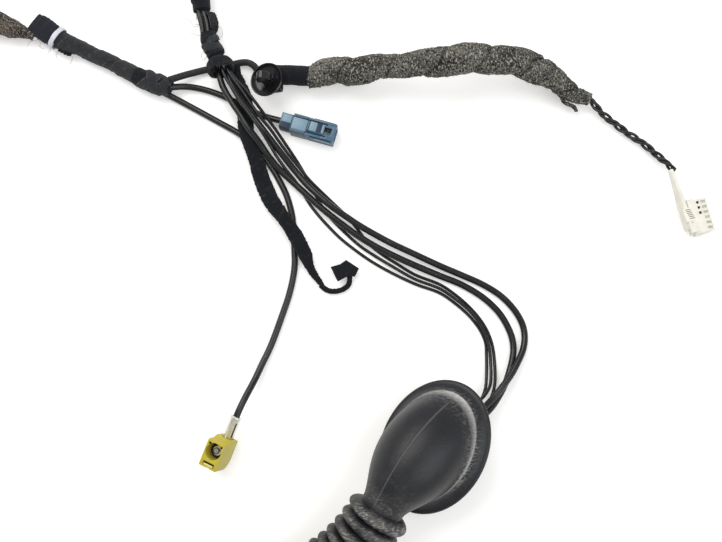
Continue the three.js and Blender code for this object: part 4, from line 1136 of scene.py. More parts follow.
@dataclass
class RubberBoot:
    """Moulded boot: a lipped rim, a dome, a ribbed bellows and a cuff."""

    place: Place = (31.9, -80.6, 14.21)
    heading: float = 240
    pitch: float = 12
    roll: float = 22
    rim_length: float = 61.2
    rim_width: float = 49
    skirt_width: float = 5.4
    skirt_height: float = 5.2
    bend_gap: float = 4.5
    neck: float = 19
    wall: float = 1.8
    groove_depth: float = 4
    groove_height: float = 2.6
    lip_height: float = 3
    rib_diameter: float = 27.7
    rib_count: int = 10
    cuff_length: float = 13
    cuff_diameter: float = 13.4
    bellows_end: Place = (-52, -146, 14.1)
    bellows_end_heading: float = 195
    bellows_reach: float = 30
    bundle_diameter: float = 8.6
    sides: int = 96
    rings: Rings = field(default_factory=list)
    marks: dict[str, list[list[float]]] = field(
        default_factory=lambda: {"scuff": [], "dust": [], "ridge": []}
    )

    def __post_init__(self) -> None:
        """Work out the boot's axes and the bellows' line."""
        turn = (
            Matrix.Rotation(math.radians(self.heading), 4, "Z")
            @ Matrix.Rotation(math.radians(self.pitch), 4, "Y")
            @ Matrix.Rotation(math.radians(self.roll), 4, "X")
        )
        self.pose = Matrix.Translation(self.place) @ turn
        self.ridge_length = self.rim_length - 2 * self.skirt_width
        self.ridge_width = self.rim_width - 2 * self.skirt_width
        self.pivot = self.ridge_length / 2 + self.bend_gap
        neck_height = self.skirt_height + self.bend_gap + self.neck / 2
        start = self.pose @ Vector((self.pivot, 0, neck_height))
        start_along = (turn @ Vector((1, 0, 0))).normalized()
        end = Vector(self.bellows_end)
        end_angle = math.radians(self.bellows_end_heading)
        end_along = Vector((math.cos(end_angle), math.sin(end_angle), 0))
        handles = (
            start,
            start + start_along * self.bellows_reach,
            end - end_along * self.bellows_reach,
            end,
        )
        fine = [self.bezier(handles, step / 200) for step in range(201)]
        self.line = evenly_spaced(fine, 0.5)
        self.length = sum((b - a).length for a, b in zip(self.line, self.line[1:]))
        self.side_start = (turn @ Vector((0, 1, 0))).normalized()
        even = [2 * math.pi * side / self.sides for side in range(self.sides)]
        beside_parting = [math.pi + gap for gap in (-0.03, -0.013, 0.013, 0.03)]
        self.spine = sorted(even + beside_parting)

    @staticmethod
    def bezier(handles: Sequence[Vector], share: float) -> Vector:
        """Point on a cubic curve with four handles."""
        rest = 1 - share
        a, b, c, d = handles
        return a * rest**3 + b * 3 * rest**2 * share + c * 3 * rest * share**2 + d * share**3

    def add_ring(self, ring: list[Vector], dust: float = 0.0, scuff: float = 0.0, ridge: float = 0.0) -> None:
        """Keep a ring with its dust and wear.

        Args:
            ring: The ring's points.
            dust: Dust, the same all round the ring.
            scuff: Rubbed patches at two places of the ridge.
            ridge: The ridge's line of wear, painted lighter as a highlight as well.
        """
        self.rings.append(ring)
        for name, strength in (("dust", dust), ("scuff", scuff), ("ridge", ridge)):
            self.marks[name].append([strength * self.share_of(name, a) for a in self.spine])

    @staticmethod
    def share_of(mark: str, angle: float) -> float:
        """How strong a mark is at an angle round the dome."""
        crown = math.exp(-(((angle - math.pi) / 0.75) ** 2))
        flank = math.exp(-(((angle - 0.52 * math.pi) / 0.5) ** 2))
        if mark == "ridge":
            return min(1.0, 0.3 + 0.7 * crown + 0.5 * flank)
        if mark == "scuff":
            return min(1.0, 0.55 * crown + flank)
        return 1.0

    def mouth(self, length: float, width: float, height: float) -> list[Vector]:
        """Oval ring round the mouth at a height above the rim's seat."""
        return [
            self.pose @ Vector((math.cos(a) * length / 2, math.sin(a) * width / 2, height))
            for a in self.spine
        ]

    def dome(self, degrees: float, inset: float = 0.0, parting: float = 0.0) -> list[Vector]:
        """Section of the dome that fans about a line beside the neck.

        Args:
            degrees: The section's turn, from the mouth at 0 to the neck at 90.
            inset: How far inside the outer surface.
            parting: Height of the mould's parting line.

        Returns:
            The section's ring.
        """
        turn = math.radians(degrees)
        open_reach = (self.ridge_length - self.neck) * (1 - math.sin(turn)) ** 0.88
        reach_out = self.neck + open_reach
        half_neck = self.neck / 2
        half = half_neck + (self.ridge_width / 2 - half_neck) * max(math.cos(turn), 0.0) ** 1.58 - inset
        near = self.bend_gap + inset
        far = self.bend_gap + reach_out - inset
        ring: list[Vector] = []
        for a in self.spine:
            bead = parting * math.exp(-(((a - math.pi) / 0.018) ** 2))
            reach = (near + far) / 2 - math.cos(a) * (far - near) / 2 + bead
            x = self.pivot - reach * math.cos(turn)
            z = self.skirt_height + reach * math.sin(turn)
            ring.append(self.pose @ Vector((x, math.sin(a) * half, z)))
        return ring

    def bellows_ring(self, distance: float, diameter: float) -> list[Vector]:
        """Ring round the bellows' line."""
        index = min(int(distance / self.length * (len(self.line) - 1) + 0.5), len(self.line) - 1)
        before = self.line[max(index - 1, 0)]
        after = self.line[min(index + 1, len(self.line) - 1)]
        along = (after - before).normalized()
        side = (self.side_start - along * self.side_start.dot(along)).normalized()
        lift = along.cross(side)
        share = distance / self.length * (len(self.line) - 1)
        low = min(int(share), len(self.line) - 2)
        centre = self.line[low].lerp(self.line[low + 1], share - low)
        return [
            centre + side * (math.sin(a) * diameter / 2) - lift * (math.cos(a) * diameter / 2)
            for a in self.spine
        ]

    def add_bellows(self) -> None:
        """Add the rounded ribs, the neck behind them and the cuff."""
        ribs_start = 1.2
        cuff_start = self.length - self.cuff_length
        pitch = (cuff_start - ribs_start) / self.rib_count
        rise = self.rib_diameter - self.neck
        steps = 12
        for rib in range(self.rib_count):
            for step in range(steps):
                share = step / steps
                bulge = math.sin(math.pi * share) ** 0.55
                ring = self.bellows_ring(ribs_start + (rib + share) * pitch, self.neck + rise * bulge)
                self.add_ring(ring, 0.1 + 0.9 * bulge**3, 0.8 * bulge**2 if rib == 0 else 0.3 * bulge**4)
        bead = 2.4
        for distance, diameter in (
            (cuff_start, self.neck), (cuff_start + 0.9, self.neck - 2.2), (cuff_start + 2, self.cuff_diameter),
            (cuff_start + 8, self.cuff_diameter), (cuff_start + 9, self.cuff_diameter + bead * 0.7),
            (cuff_start + 9.6, self.cuff_diameter + bead), (cuff_start + 11.4, self.cuff_diameter + bead),
            (cuff_start + 12.1, self.cuff_diameter + bead * 0.6), (self.length, self.cuff_diameter + 0.6),
        ):
            self.add_ring(self.bellows_ring(distance, diameter), 0.35)
        bore = self.neck - 2 * self.wall
        cuff_bore = self.bundle_diameter + 0.6
        for distance, diameter in (
            (self.length, cuff_bore), (cuff_start + 2.4, cuff_bore), (cuff_start, bore),
            (cuff_start / 2, bore), (ribs_start, bore),
        ):
            self.add_ring(self.bellows_ring(distance, diameter))

    def build(self) -> None:
        """Skin the boot from its lip, over the dome and bellows, and back inside."""
        groove = self.groove_height
        lip = groove + self.lip_height
        groove_length = self.rim_length - 2 * self.groove_depth - 2
        groove_width = self.rim_width - 2 * self.groove_depth - 2
        rim = (self.rim_length, self.rim_width)
        for cut, height in (
            (9, -lip), (6.2, -lip + 0.5), (5, -groove - 0.8), (5.4, -groove - 0.1), (6, -groove),
        ):
            self.add_ring(self.mouth(rim[0] - cut, rim[1] - cut, height))
        self.add_ring(self.mouth(groove_length, groove_width, -groove))
        self.add_ring(self.mouth(groove_length, groove_width, -0.4))
        for cut, height in ((1.0, -0.4), (0.3, -0.25), (0, 0.2), (0, 0.7), (0.4, 1.15), (1.3, 1.5)):
            self.add_ring(self.mouth(rim[0] - cut, rim[1] - cut, height), 0.02)
        skirt_steps = 7
        for step in range(1, skirt_steps):
            share = step / skirt_steps
            cut = 1.3 + share * (2 * self.skirt_width - 3.4)
            height = 1.5 + (self.skirt_height - 2.6) * share**1.6
            ring = self.mouth(rim[0] - cut, rim[1] - cut, height)
            self.add_ring(ring, 0.03, 0.28 * share**3)
        # The last value is the ridge line: wear, painted lighter as a highlight too.
        for grow, height, scuff, ridge in (
            (1.9, -0.9, 0.5, 0.0), (1.5, -0.4, 0.6, 0.0), (1.2, 0.1, 0.7, 0.2), (0.8, 0.5, 0.8, 1.0),
            (0.1, 0.75, 0.8, 1.0),
        ):
            ring = self.mouth(self.ridge_length + grow, self.ridge_width + grow, self.skirt_height + height)
            self.add_ring(ring, 0.04, scuff, ridge)
        for degrees in (5, 7, 10, 14, 18, 23, 28, 34, 40, 46, 52, 58, 64, 70, 76, 82, 87):
            ring = self.dome(degrees, 0.0, 0.2 * math.cos(math.radians(degrees)))
            fade = max(0.0, 1 - (degrees - 5) / 6)
            self.add_ring(ring, 0.02 + 0.6 * (degrees / 90) ** 6, 0.4 * fade)
            # A faint painted highlight along the mould's parting line.
            line = [0.16 * math.exp(-(((a - math.pi) / 0.018) ** 2)) for a in self.spine]
            self.marks["ridge"][-1] = line
        self.add_bellows()
        for degrees in (90, 68, 50, 32, 16, 4):
            self.add_ring(self.dome(degrees, self.wall))
        bore_length = self.ridge_length - 2 * self.wall - 2
        bore_width = self.ridge_width - 2 * self.wall - 2
        self.add_ring(self.mouth(bore_length, bore_width, 0))
        self.add_ring(self.mouth(bore_length, bore_width, -lip + 0.6))
        piece = skin("rubber_boot", self.rings, True, self.marks)
        dress(piece, BOOT_RUBBER, Slot.RUBBER, "boot")


@dataclass
class PlainPlug:
    """Plain black connector that ends a cut-off branch."""

    node: str

    def build(self) -> None:
        """Round the connector's edges and dress it."""
        dress(fine_copy(self.node, f"{self.node}_shell", 0.4), BLACK_PLASTIC, Slot.BLACK, self.node)


@dataclass
class TailBundle:
    """Taped bundle through the bellows."""

    boot: RubberBoot
    diameter: float = 8.6

    def build(self) -> None:
        """Wrap the bundle and add its plug."""
        start = Vector((44.6, -70.6, 13.1))
        along = Vector((-0.69, -0.7, 0.2)).normalized()
        start = start + along * 0.3
        in_dome = self.boot.pose @ Vector((4, 0, 11))
        stations = [self.boot.line[round(share * (len(self.boot.line) - 1))] for share in (0, 0.2, 0.4, 0.6, 0.8, 1)]
        angle = math.radians(self.boot.bellows_end_heading)
        end = Vector(self.boot.bellows_end) + Vector((math.cos(angle), math.sin(angle), 0)) * 20
        places = [tuple(p) for p in (start, start + along * 6, in_dome, *stations, end)]
        lap = Lap(9.5, 0.25, seed=3.1)

        def shape(at: float, distance: float, turn: float) -> Section:
            rise, fray_and_fold_shade = lap.at(distance, turn)
            return Section(self.diameter - 0.4, self.diameter - 0.4, 0.0, rise, fray_and_fold_shade)

        piece = wrapped_bar("tail_wrap", places, shape, 32, 1.0)
        dress(piece, CLOTH_TAPE, Slot.TAPE, "tail_bundle")
        PlainPlug("tail_connector").build()


# Taped parts


def tape_shape(
    widths: Sequence[float], heights: Sequence[float], lap: Lap, turn: float = 0.0
) -> Shape:
    """Section of a taped branch from its widths and heights.

    Args:
        widths: Widths at evenly spread stations.
        heights: Heights there.
        lap: The tape's overlap.
        turn: How far the section turns from start to end.

    Returns:
        A function for wrapped_bar.
    """

    def shape(at: float, distance: float, angle: float) -> Section:
        rise, fray_and_fold_shade = lap.at(distance, angle)
        return Section(spread(widths, at), spread(heights, at), turn * at, rise - 0.12, fray_and_fold_shade)

    return shape


@dataclass
class Strip:
    """Flat or standing strip of tape along a route."""

    name: str
    places: Route
    width: Callable[[float], float]
    thickness: float
    turn: Callable[[float], float]
    ragged: float = 0.35

    def build(self) -> Piece:
        """Make the strip, with ragged long edges."""
        track = Track(self.places, 0.5)
        rings: Rings = []
        fray_and_fold_shade: list[list[float]] = []
        count = len(track.points) - 1
        across_steps = 8
        for index, centre in enumerate(track.points):
            at = index / count
            side, lift = track.axes(index)
            turn = self.turn(at)
            flat = side * math.cos(turn) + lift * math.sin(turn)
            thick = lift * math.cos(turn) - side * math.sin(turn)
            torn = [
                self.ragged * noise.noise(Vector((at * track.length * 1.7, edge * 9.0, len(self.name))))
                for edge in (-1, 1)
            ]
            half = self.width(at) / 2
            low, high = -half + torn[0], half - torn[1]
            ring: list[Vector] = []
            frayed: list[float] = []
            for over in (-1, 1):
                for step in range(across_steps + 1):
                    share = step / across_steps
                    share = share if over < 0 else 1 - share
                    wave = 0.25 * noise.noise(Vector((at * 7, share * 3, len(self.name))))
                    spot = low + (high - low) * share
                    edge_thin = 1 - 0.6 * abs(2 * share - 1) ** 6
                    ring.append(centre + flat * spot + thick * (over * self.thickness / 2 * edge_thin + wave))
                    frayed.append(max(0.0, abs(2 * share - 1) * 4 - 3))
            rings.append(ring)
            fray_and_fold_shade.append(frayed)
        return skin(self.name, rings, values={"fray_and_fold_shade": fray_and_fold_shade})


@dataclass
class UpperTaping:
    """Collar, wrap, bare stretches and sleeve at the top of the harness."""

    collar_place: Place = (-66.58, 96.45, 10.02)
    collar_along: Place = (0.22, -0.95, 0.22)
    collar_bore: float = 10.6
    collar_wall: float = 0.7
    collar_length: float = 5.0

    def collar(self) -> None:
        """Tape collar round the five cables, with a rolled front edge."""
        along = Vector(self.collar_along).normalized()
        pose = UP.rotation_difference(along)
        bore = self.collar_bore / 2
        outer = bore + self.collar_wall
        half = self.collar_length / 2
        profile = (
            (bore, -half), (outer - 0.3, -half), (outer, -half + 0.5), (outer + 0.1, -1.6), (outer + 0.35, -1.4),
            (outer + 0.3, 0.8), (outer + 0.5, 1.0), (outer + 0.5, half - 1.2), (outer + 0.3, half), (bore, half),
        )
        rings: Rings = []
        fray_and_fold_shade: list[list[float]] = []
        sides = 48
        for radius, height in profile:
            ring: list[Vector] = []
            for side in range(sides):
                angle = 2 * math.pi * side / sides
                ragged = 0.25 * noise.noise(Vector((math.cos(angle) * 3, math.sin(angle) * 3, height)))
                r = radius + (ragged if radius > bore else 0.0)
                spot = Vector((r * math.cos(angle), r * math.sin(angle), height + ragged))
                ring.append(pose @ spot + Vector(self.collar_place))
            rings.append(ring)
            fray_and_fold_shade.append([1.0 if abs(height) > half - 0.6 else 0.1] * sides)
        dress(skin("tape_collar", rings, True, {"fray_and_fold_shade": fray_and_fold_shade}), CLOTH_TAPE, Slot.TAPE, "bundle_collar")

    def bare_cables(self) -> None:
        """Short bare stretches between the wrap and the sleeve."""
        starts = ((-78, 124.9, 6.2), (-75.4, 124.7, 8.6), (-77.8, 124.9, 9.8), (-73.6, 124.5, 6.6))
        ends = ((-75.2, 113, 6.8), (-72.6, 113.8, 9.2), (-75, 113.5, 10.4), (-71.1, 114, 7.2))
        names = ("bare_coax_left", "bare_coax_right", "bare_wire_left", "bare_wire_right")
        for name, start, end, diameter in zip(names, starts, ends, (COAX, COAX, THIN_WIRE, THIN_WIRE)):
            middle = Vector(start).lerp(Vector(end), 0.5) + Vector((0.4, 0, 0.3))
            cable = Cable(name, diameter, (start, tuple(middle), end), FarEnd.OBJECT)
            piece, _ = cable.lay()
            dress(piece, CABLE_JACKET, Slot.JACKET, name)

    def build(self) -> None:
        """Build the upper pieces."""
        self.collar()
        self.bare_cables()
        wrap = tape_shape((7.2, 8.8, 8.3, 8.8), (6.8, 7.4, 8.2, 8.6), Lap(9.0, 0.35, seed=5.0), 2.0)
        piece = wrapped_bar("upper_wrap", ROUTES["upper_wrap"], wrap, 44, 0.4)
        dress(piece, CLOTH_TAPE, Slot.TAPE, "upper_tape_wrap")
        for number, ribbon in enumerate(UPPER_RIBBONS):
            piece = ribbon.build(f"upper_turn_{number}", ROUTES["upper_wrap"], wrap)
            dress(piece, DUSTY_TAPE, Slot.TAPE)
        sleeve = tape_shape((8.2, 9.4, 9, 8.6, 8.8), (7.6, 8, 8.2, 8, 8), Lap(8.0, 0.35, seed=6.0))
        piece = wrapped_bar("upper_sleeve", ROUTES["top_sleeve"], sleeve, 44, 0.6)
        dress(piece, CLOTH_TAPE, Slot.TAPE, "top_tape_sleeve")
        loose = Strip("loose_tape", ROUTES["loose_tape"], lambda at: 6.0, 0.8, lambda at: 0.8 + 0.4 * at, 0.5)
        dress(loose.build(), CLOTH_TAPE, Slot.TAPE, "loose_tape_loop")
        stray_threads("upper_threads", UPPER_THREADS, 21, 2, 9.0)
        PlainPlug("top_connector").build()


UPPER_RIBBONS = (
    Ribbon(2.2, 200, -150, 4.5, 3.0, 0.5, 0.5),
    Ribbon(6.5, -20, 200, 3.0, 3.4, 0.45, 0.4),
)
UPPER_THREADS: Route = (
    (-79.0, 121.0, 8.0), (-78.2, 117.0, 8.5), (-76.6, 112.5, 9.0), (-74.6, 107.5, 9.4), (-69.2, 117.0, 9.0),
)
FLAG_THREADS: Route = ((-155.5, 112.6, 4.0), (-150.5, 110.2, 4.4), (-144.0, 107.2, 4.4), (-139.5, 104.6, 4.4))
TRUNK_RIBBONS = (
    Ribbon(2.5, -70, 150, 10.0, 5.0, 0.35, 0.9),
    Ribbon(20.0, -40, 250, 9.0, 8.0, 0.3),
    Ribbon(33.0, 20, 220, 6.0, 6.0, 0.4),
)
JUNCTION_RIBBONS = (
    Ribbon(1.5, -60, 230, 11.0, 5.0, 0.35),
    Ribbon(3.0, 230, -240, 10.5, 4.6, 0.5),
    Ribbon(8.5, -80, 200, 8.0, 4.0, 0.55),
    Ribbon(14.0, 220, -250, 2.5, 3.0, 0.45),
)


@dataclass
class LeftArm:
    """Taped trunk, junction, marking band, torn flag and fleece of the left arm."""

    band_place: Place = (-146, 112.8, 4.55)
    band_heading: float = -34
    band_length: float = 2.2
    band_bore: tuple[float, float] = (10.6, 7.7)
    band_wall: float = 0.6

    def band(self) -> None:
        """Slanted pale band round the trunk's end."""
        angle = math.radians(self.band_heading)
        along = Vector((math.cos(angle), math.sin(angle), 0))
        side = along.cross(UP).normalized()
        lift = side.cross(along)
        half = self.band_length / 2
        rings: Rings = []
        for offset, grow in (
            (-half, self.band_wall), (-half * 0.3, self.band_wall + 0.1), (half * 0.5, self.band_wall),
            (half, self.band_wall - 0.1), (half, 0), (-half, 0),
        ):
            ring: list[Vector] = []
            for corner in range(56):
                turn = 2 * math.pi * corner / 56
                crinkle = 0.12 * noise.noise(Vector((turn * 2.2, offset, 1.0)))
                ring.append(
                    Vector(self.band_place)
                    + along * (offset + crinkle)
                    + side * (math.cos(turn) * (self.band_bore[0] / 2 + grow))
                    + lift * (math.sin(turn) * (self.band_bore[1] / 2 + grow))
                )
            rings.append(ring)
        dress(skin("marking_band", rings, True), BAND_FILM, Slot.BAND, "white_band")

    def build(self) -> None:
        """Build the left arm from the junction outwards."""
        trunk = tape_shape((9.2, 7.6, 7, 7.2, 8), (7, 7, 7, 7, 7.6), Lap(17.0, 0.3, -1.0, 1.0, 0.2))
        piece = wrapped_bar("trunk_wrap", ROUTES["left_trunk"], trunk, 44, 0.5)
        dress(piece, DUSTY_TAPE, Slot.TAPE, "left_trunk_tape")
        for number, ribbon in enumerate(TRUNK_RIBBONS):
            piece = ribbon.build(f"trunk_turn_{number}", ROUTES["left_trunk"], trunk)
            dress(piece, DUSTY_TAPE, Slot.TAPE)
        junction_route = lengthened(ROUTES["junction"], 0.0, 1.5)
        junction = tape_shape((8.2, 9.2, 9.4, 6.6), (8, 8.4, 8.2, 6.4), Lap(6.5, 0.4, 1.0, 2.0, 0.2))
        piece = wrapped_bar("junction_wrap", junction_route, junction, 48, 0.4)
        dress(piece, CLOTH_TAPE, Slot.TAPE, "junction_tape")
        for number, ribbon in enumerate(JUNCTION_RIBBONS):
            piece = ribbon.build(f"junction_turn_{number}", junction_route, junction)
            dress(piece, DUSTY_TAPE, Slot.TAPE)
        self.band()
        flag = Strip(
            "torn_flag",
            ROUTES["tape_flag"],
            lambda at: spread((10.4, 11.4, 11.2, 10.2), at),
            2.2,
            lambda at: 0.1 - 0.1 * at,
            0.5,
        ).build()
        dress(flag, FLAG_TAPE, Slot.TAPE, "left_tape_flag")
        torn_edge = Strip("torn_edge", ROUTES["torn_edge"], lambda at: 3.0 - at, 0.8, lambda at: 0.2, 1.0).build()
        dress(torn_edge, CLOTH_TAPE, Slot.TAPE)
        stray_threads("flag_threads", FLAG_THREADS, 22, 2, 6.5)

        def foam(at: float, distance: float, angle: float) -> Section:
            width = spread((4, 9.5, 12.4, 12.8, 12.4, 12.8, 12), at)
            height = spread((3.6, 7.6, 10, 10.6, 10.4, 10.8, 10.4), at)
            lump = 0.35 * math.cos(angle - 26 * at) + 0.2 * math.cos(3 * angle + 17 * at)
            spot = Vector((distance, math.cos(angle) * 5, math.sin(angle) * 5))
            lump += 0.3 * noise.noise(spot * 0.5) + 0.22 * noise.noise(spot * 1.6)
            return Section(width, height, 0.0, lump)

        piece = wrapped_bar("left_fleece", lengthened(ROUTES["left_foam"], 3.5), foam, 64, 0.6)
        dress(piece, BROWN_FLEECE, Slot.FOAM, "left_foam")
        tail = tape_shape((8.8, 8.8), (8.8, 8.8), Lap(6.0, 0.3, 1.0, 8.0))
        piece = wrapped_bar("left_end_wrap", ROUTES["left_tail"], tail, 40, 0.5)
        dress(piece, CLOTH_TAPE, Slot.TAPE, "left_tail_tape")
        PlainPlug("left_connector").build()


@dataclass
class RetainerClip:
    """Push-in clip: a bar, a sealing cup and an arrowhead."""

    place: Place = (-43.9, 89.6, 9.3)
    tilt: float = -20
    cup_diameter: float = 16.4

    def build(self) -> None:
        """Build the clip's cup, bar and arrowhead as one moulding each."""
        pose = Matrix.Translation(self.place) @ Matrix.Rotation(math.radians(self.tilt), 4, "Y")
        lip = self.cup_diameter / 2
        profile = (
            (0.3, -5), (2.3, -5), (2.5, -4.6), (2.6, -1.7), (3.4, -1.3), (6, -0.6), (7.4, 0.5), (lip, 1.6),
            (lip, 2.0), (lip - 0.3, 2.3), (lip - 0.6, 2.2), (7, 1.2), (5.6, 0.55), (3.6, 0.0), (2.3, -0.1),
            (2.1, 0.4), (2, 1.6), (0.3, 1.7),
        )
        sides = 64
        rings = [
            [
                pose @ Vector((r * math.cos(2 * math.pi * s / sides), r * math.sin(2 * math.pi * s / sides), z))
                for s in range(sides)
            ]
            for r, z in profile
        ]
        dress(skin("clip_cup", rings), CLIP_PLASTIC, Slot.BLACK, "retainer_clip")
        bar = slab("clip_bar", (11, 8, 3), (-0.5, 0, -6), pose, 1.3)
        dress(bar, CLIP_PLASTIC, Slot.BLACK)
        outline = (
            (-1.9, 1), (1.9, 1), (2.1, 3.1), (3.5, 3.3), (3.7, 3.8), (3.2, 5.8), (2.4, 7.6), (1.2, 9.1),
            (0.5, 9.3), (-0.5, 9.3), (-1.2, 9.1), (-2.4, 7.6), (-3.2, 5.8), (-3.7, 3.8), (-3.5, 3.3), (-2.1, 3.1),
        )
        blade = 3.6
        rings = [
            [pose @ Vector((x, y, z)) for x, z in outline]
            for y in (-blade / 2, -blade / 6, blade / 6, blade / 2)
        ]
        arrow = skin("clip_arrow", rings)
        apply_bevel(arrow, 0.3, 3)
        soften_shading(arrow, 50)
        dress(arrow, CLIP_PLASTIC, Slot.BLACK)
        # Black plates painted as the shade in the arrowhead's slots.
        for number, x in enumerate((-1.5, 1.5)):
            groove = slab(f"clip_slot_{number}", (0.7, blade + 0.08, 3.6), (x, 0, 5), pose, 0.1, 1)
            dress(groove, SOCKET_SHADE, Slot.BLACK)


@dataclass
class FleeceBranch:
    """Right branch: tape, lumpy fleece wrap and its loose curl."""

    sizes: tuple[float, ...] = (9.4, 12.2, 13, 11.6, 10.7, 11.2, 12.6, 14.4, 13, 13.2, 13.2, 12.9, 10.6, 8, 4.6)
    fibre_count: int = 2600
    fold_pitch: float = 22.0
    first_fold: float = 14.0

    def shape(self, at: float, distance: float, angle: float) -> Section:
        """Section of the fleece, with its wound folds and loose surface."""
        size = spread(self.sizes, at)
        spot = Vector((distance, math.cos(angle) * 6, math.sin(angle) * 6))
        drift = 0.16 * noise.noise(spot * 0.11)
        phase = ((distance - self.first_fold) / self.fold_pitch - angle / (2 * math.pi) + drift) % 1.0
        to_fold = min(phase, 1 - phase)
        crease = math.exp(-((to_fold / 0.04) ** 2))
        lump = 1.3 * math.sin(math.pi * phase) ** 0.7 - 0.7 - 0.6 * crease + 0.2 * math.cos(2 * angle + 33 * at)
        lump += 0.4 * noise.noise(spot * 0.32) + 0.3 * noise.noise(spot * 1.1) + 0.2 * noise.noise(spot * 2.4)
        # The section's last value sets the painted shade in the fold creases.
        return Section(size, size * 0.97, 0.0, lump, 0.75 * crease)

    def fibres(self, fleece: Piece, seed: int, count: int, name: str, slot: Slot) -> None:
        """Scatter short bent fibres over a fleece.

        Args:
            fleece: The piece that they lie on.
            seed: Seed of the scatter.
            count: How many fibres.
            name: The new piece's name.
            slot: The record's slot.
        """
        draw = random.Random(seed)
        faces = fleece.data.polygons
        points: list[Vector] = []
        triangles: list[tuple[int, int, int]] = []
        shade: list[float] = []
        for _ in range(count):
            face = faces[draw.randrange(len(faces))]
            normal = face.normal.copy()
            run = normal.cross(Vector([draw.uniform(-1, 1) for _ in range(3)])).normalized()
            reach = draw.uniform(0.7, 2.0) * MM
            width = draw.uniform(0.05, 0.1) * MM
            side = normal.cross(run) * width
            base = face.center - normal * 0.15 * MM
            middle = base + run * reach * 0.5 + normal * draw.uniform(0.2, 0.55) * MM
            tip = base + run * reach + normal * draw.uniform(0.0, 0.6) * MM
            first = len(points)
            points += [base - side, base + side, base - normal * width, middle - side, middle + side]
            points += [middle - normal * width, tip]
            for a, b in ((0, 1), (1, 2), (2, 0)):
                triangles.append((first + a, first + b, first + b + 3))
                triangles.append((first + a, first + b + 3, first + a + 3))
                triangles.append((first + a + 3, first + b + 3, first + 6))
            triangles.append((first, first + 2, first + 1))
            shade += [draw.choice((0.0, 0.15, 0.6, 1.0))] * 7
        mesh = bpy.data.meshes.new(name)
        mesh.from_pydata(points, [], triangles)
        attribute = mesh.attributes.new("shade", "FLOAT", "POINT")
        attribute.data.foreach_set("value", shade)
        shell = bmesh.new()
        shell.from_mesh(mesh)
        bmesh.ops.recalc_face_normals(shell, faces=shell.faces)
        shell.to_mesh(mesh)
        shell.free()
        dress(link(name, mesh), FIBRES, slot)

    def build(self) -> None:
        """Build the branch."""
        tape = tape_shape((9.3, 9.3), (9.3, 9.3), Lap(12.0, 0.3, 1.0, 9.0))
        piece = wrapped_bar("branch_wrap", lengthened(ROUTES["branch_tape"], 3.5), tape, 44, 0.45)
        dress(piece, CLOTH_TAPE, Slot.TAPE, "branch_tape")
        fleece = wrapped_bar("fleece_wrap", lengthened(ROUTES["branch_foam"], 2.6), self.shape, 72, 0.5)
        dress(fleece, GREY_FLEECE, Slot.FLEECE, "branch_foam")
        self.fibres(fleece, 11, self.fibre_count, "fleece_fibres", Slot.FLEECE)
        self.fibres(bpy.data.objects["left_fleece"], 12, 700, "left_fleece_fibres", Slot.FOAM)
        curl = Strip("fleece_curl", ROUTES["foam_curl"], lambda at: 3.6 - 1.2 * at, 1.1, lambda at: 0.7, 0.6).build()
        dress(curl, GREY_FLEECE, Slot.FLEECE, "foam_curl")


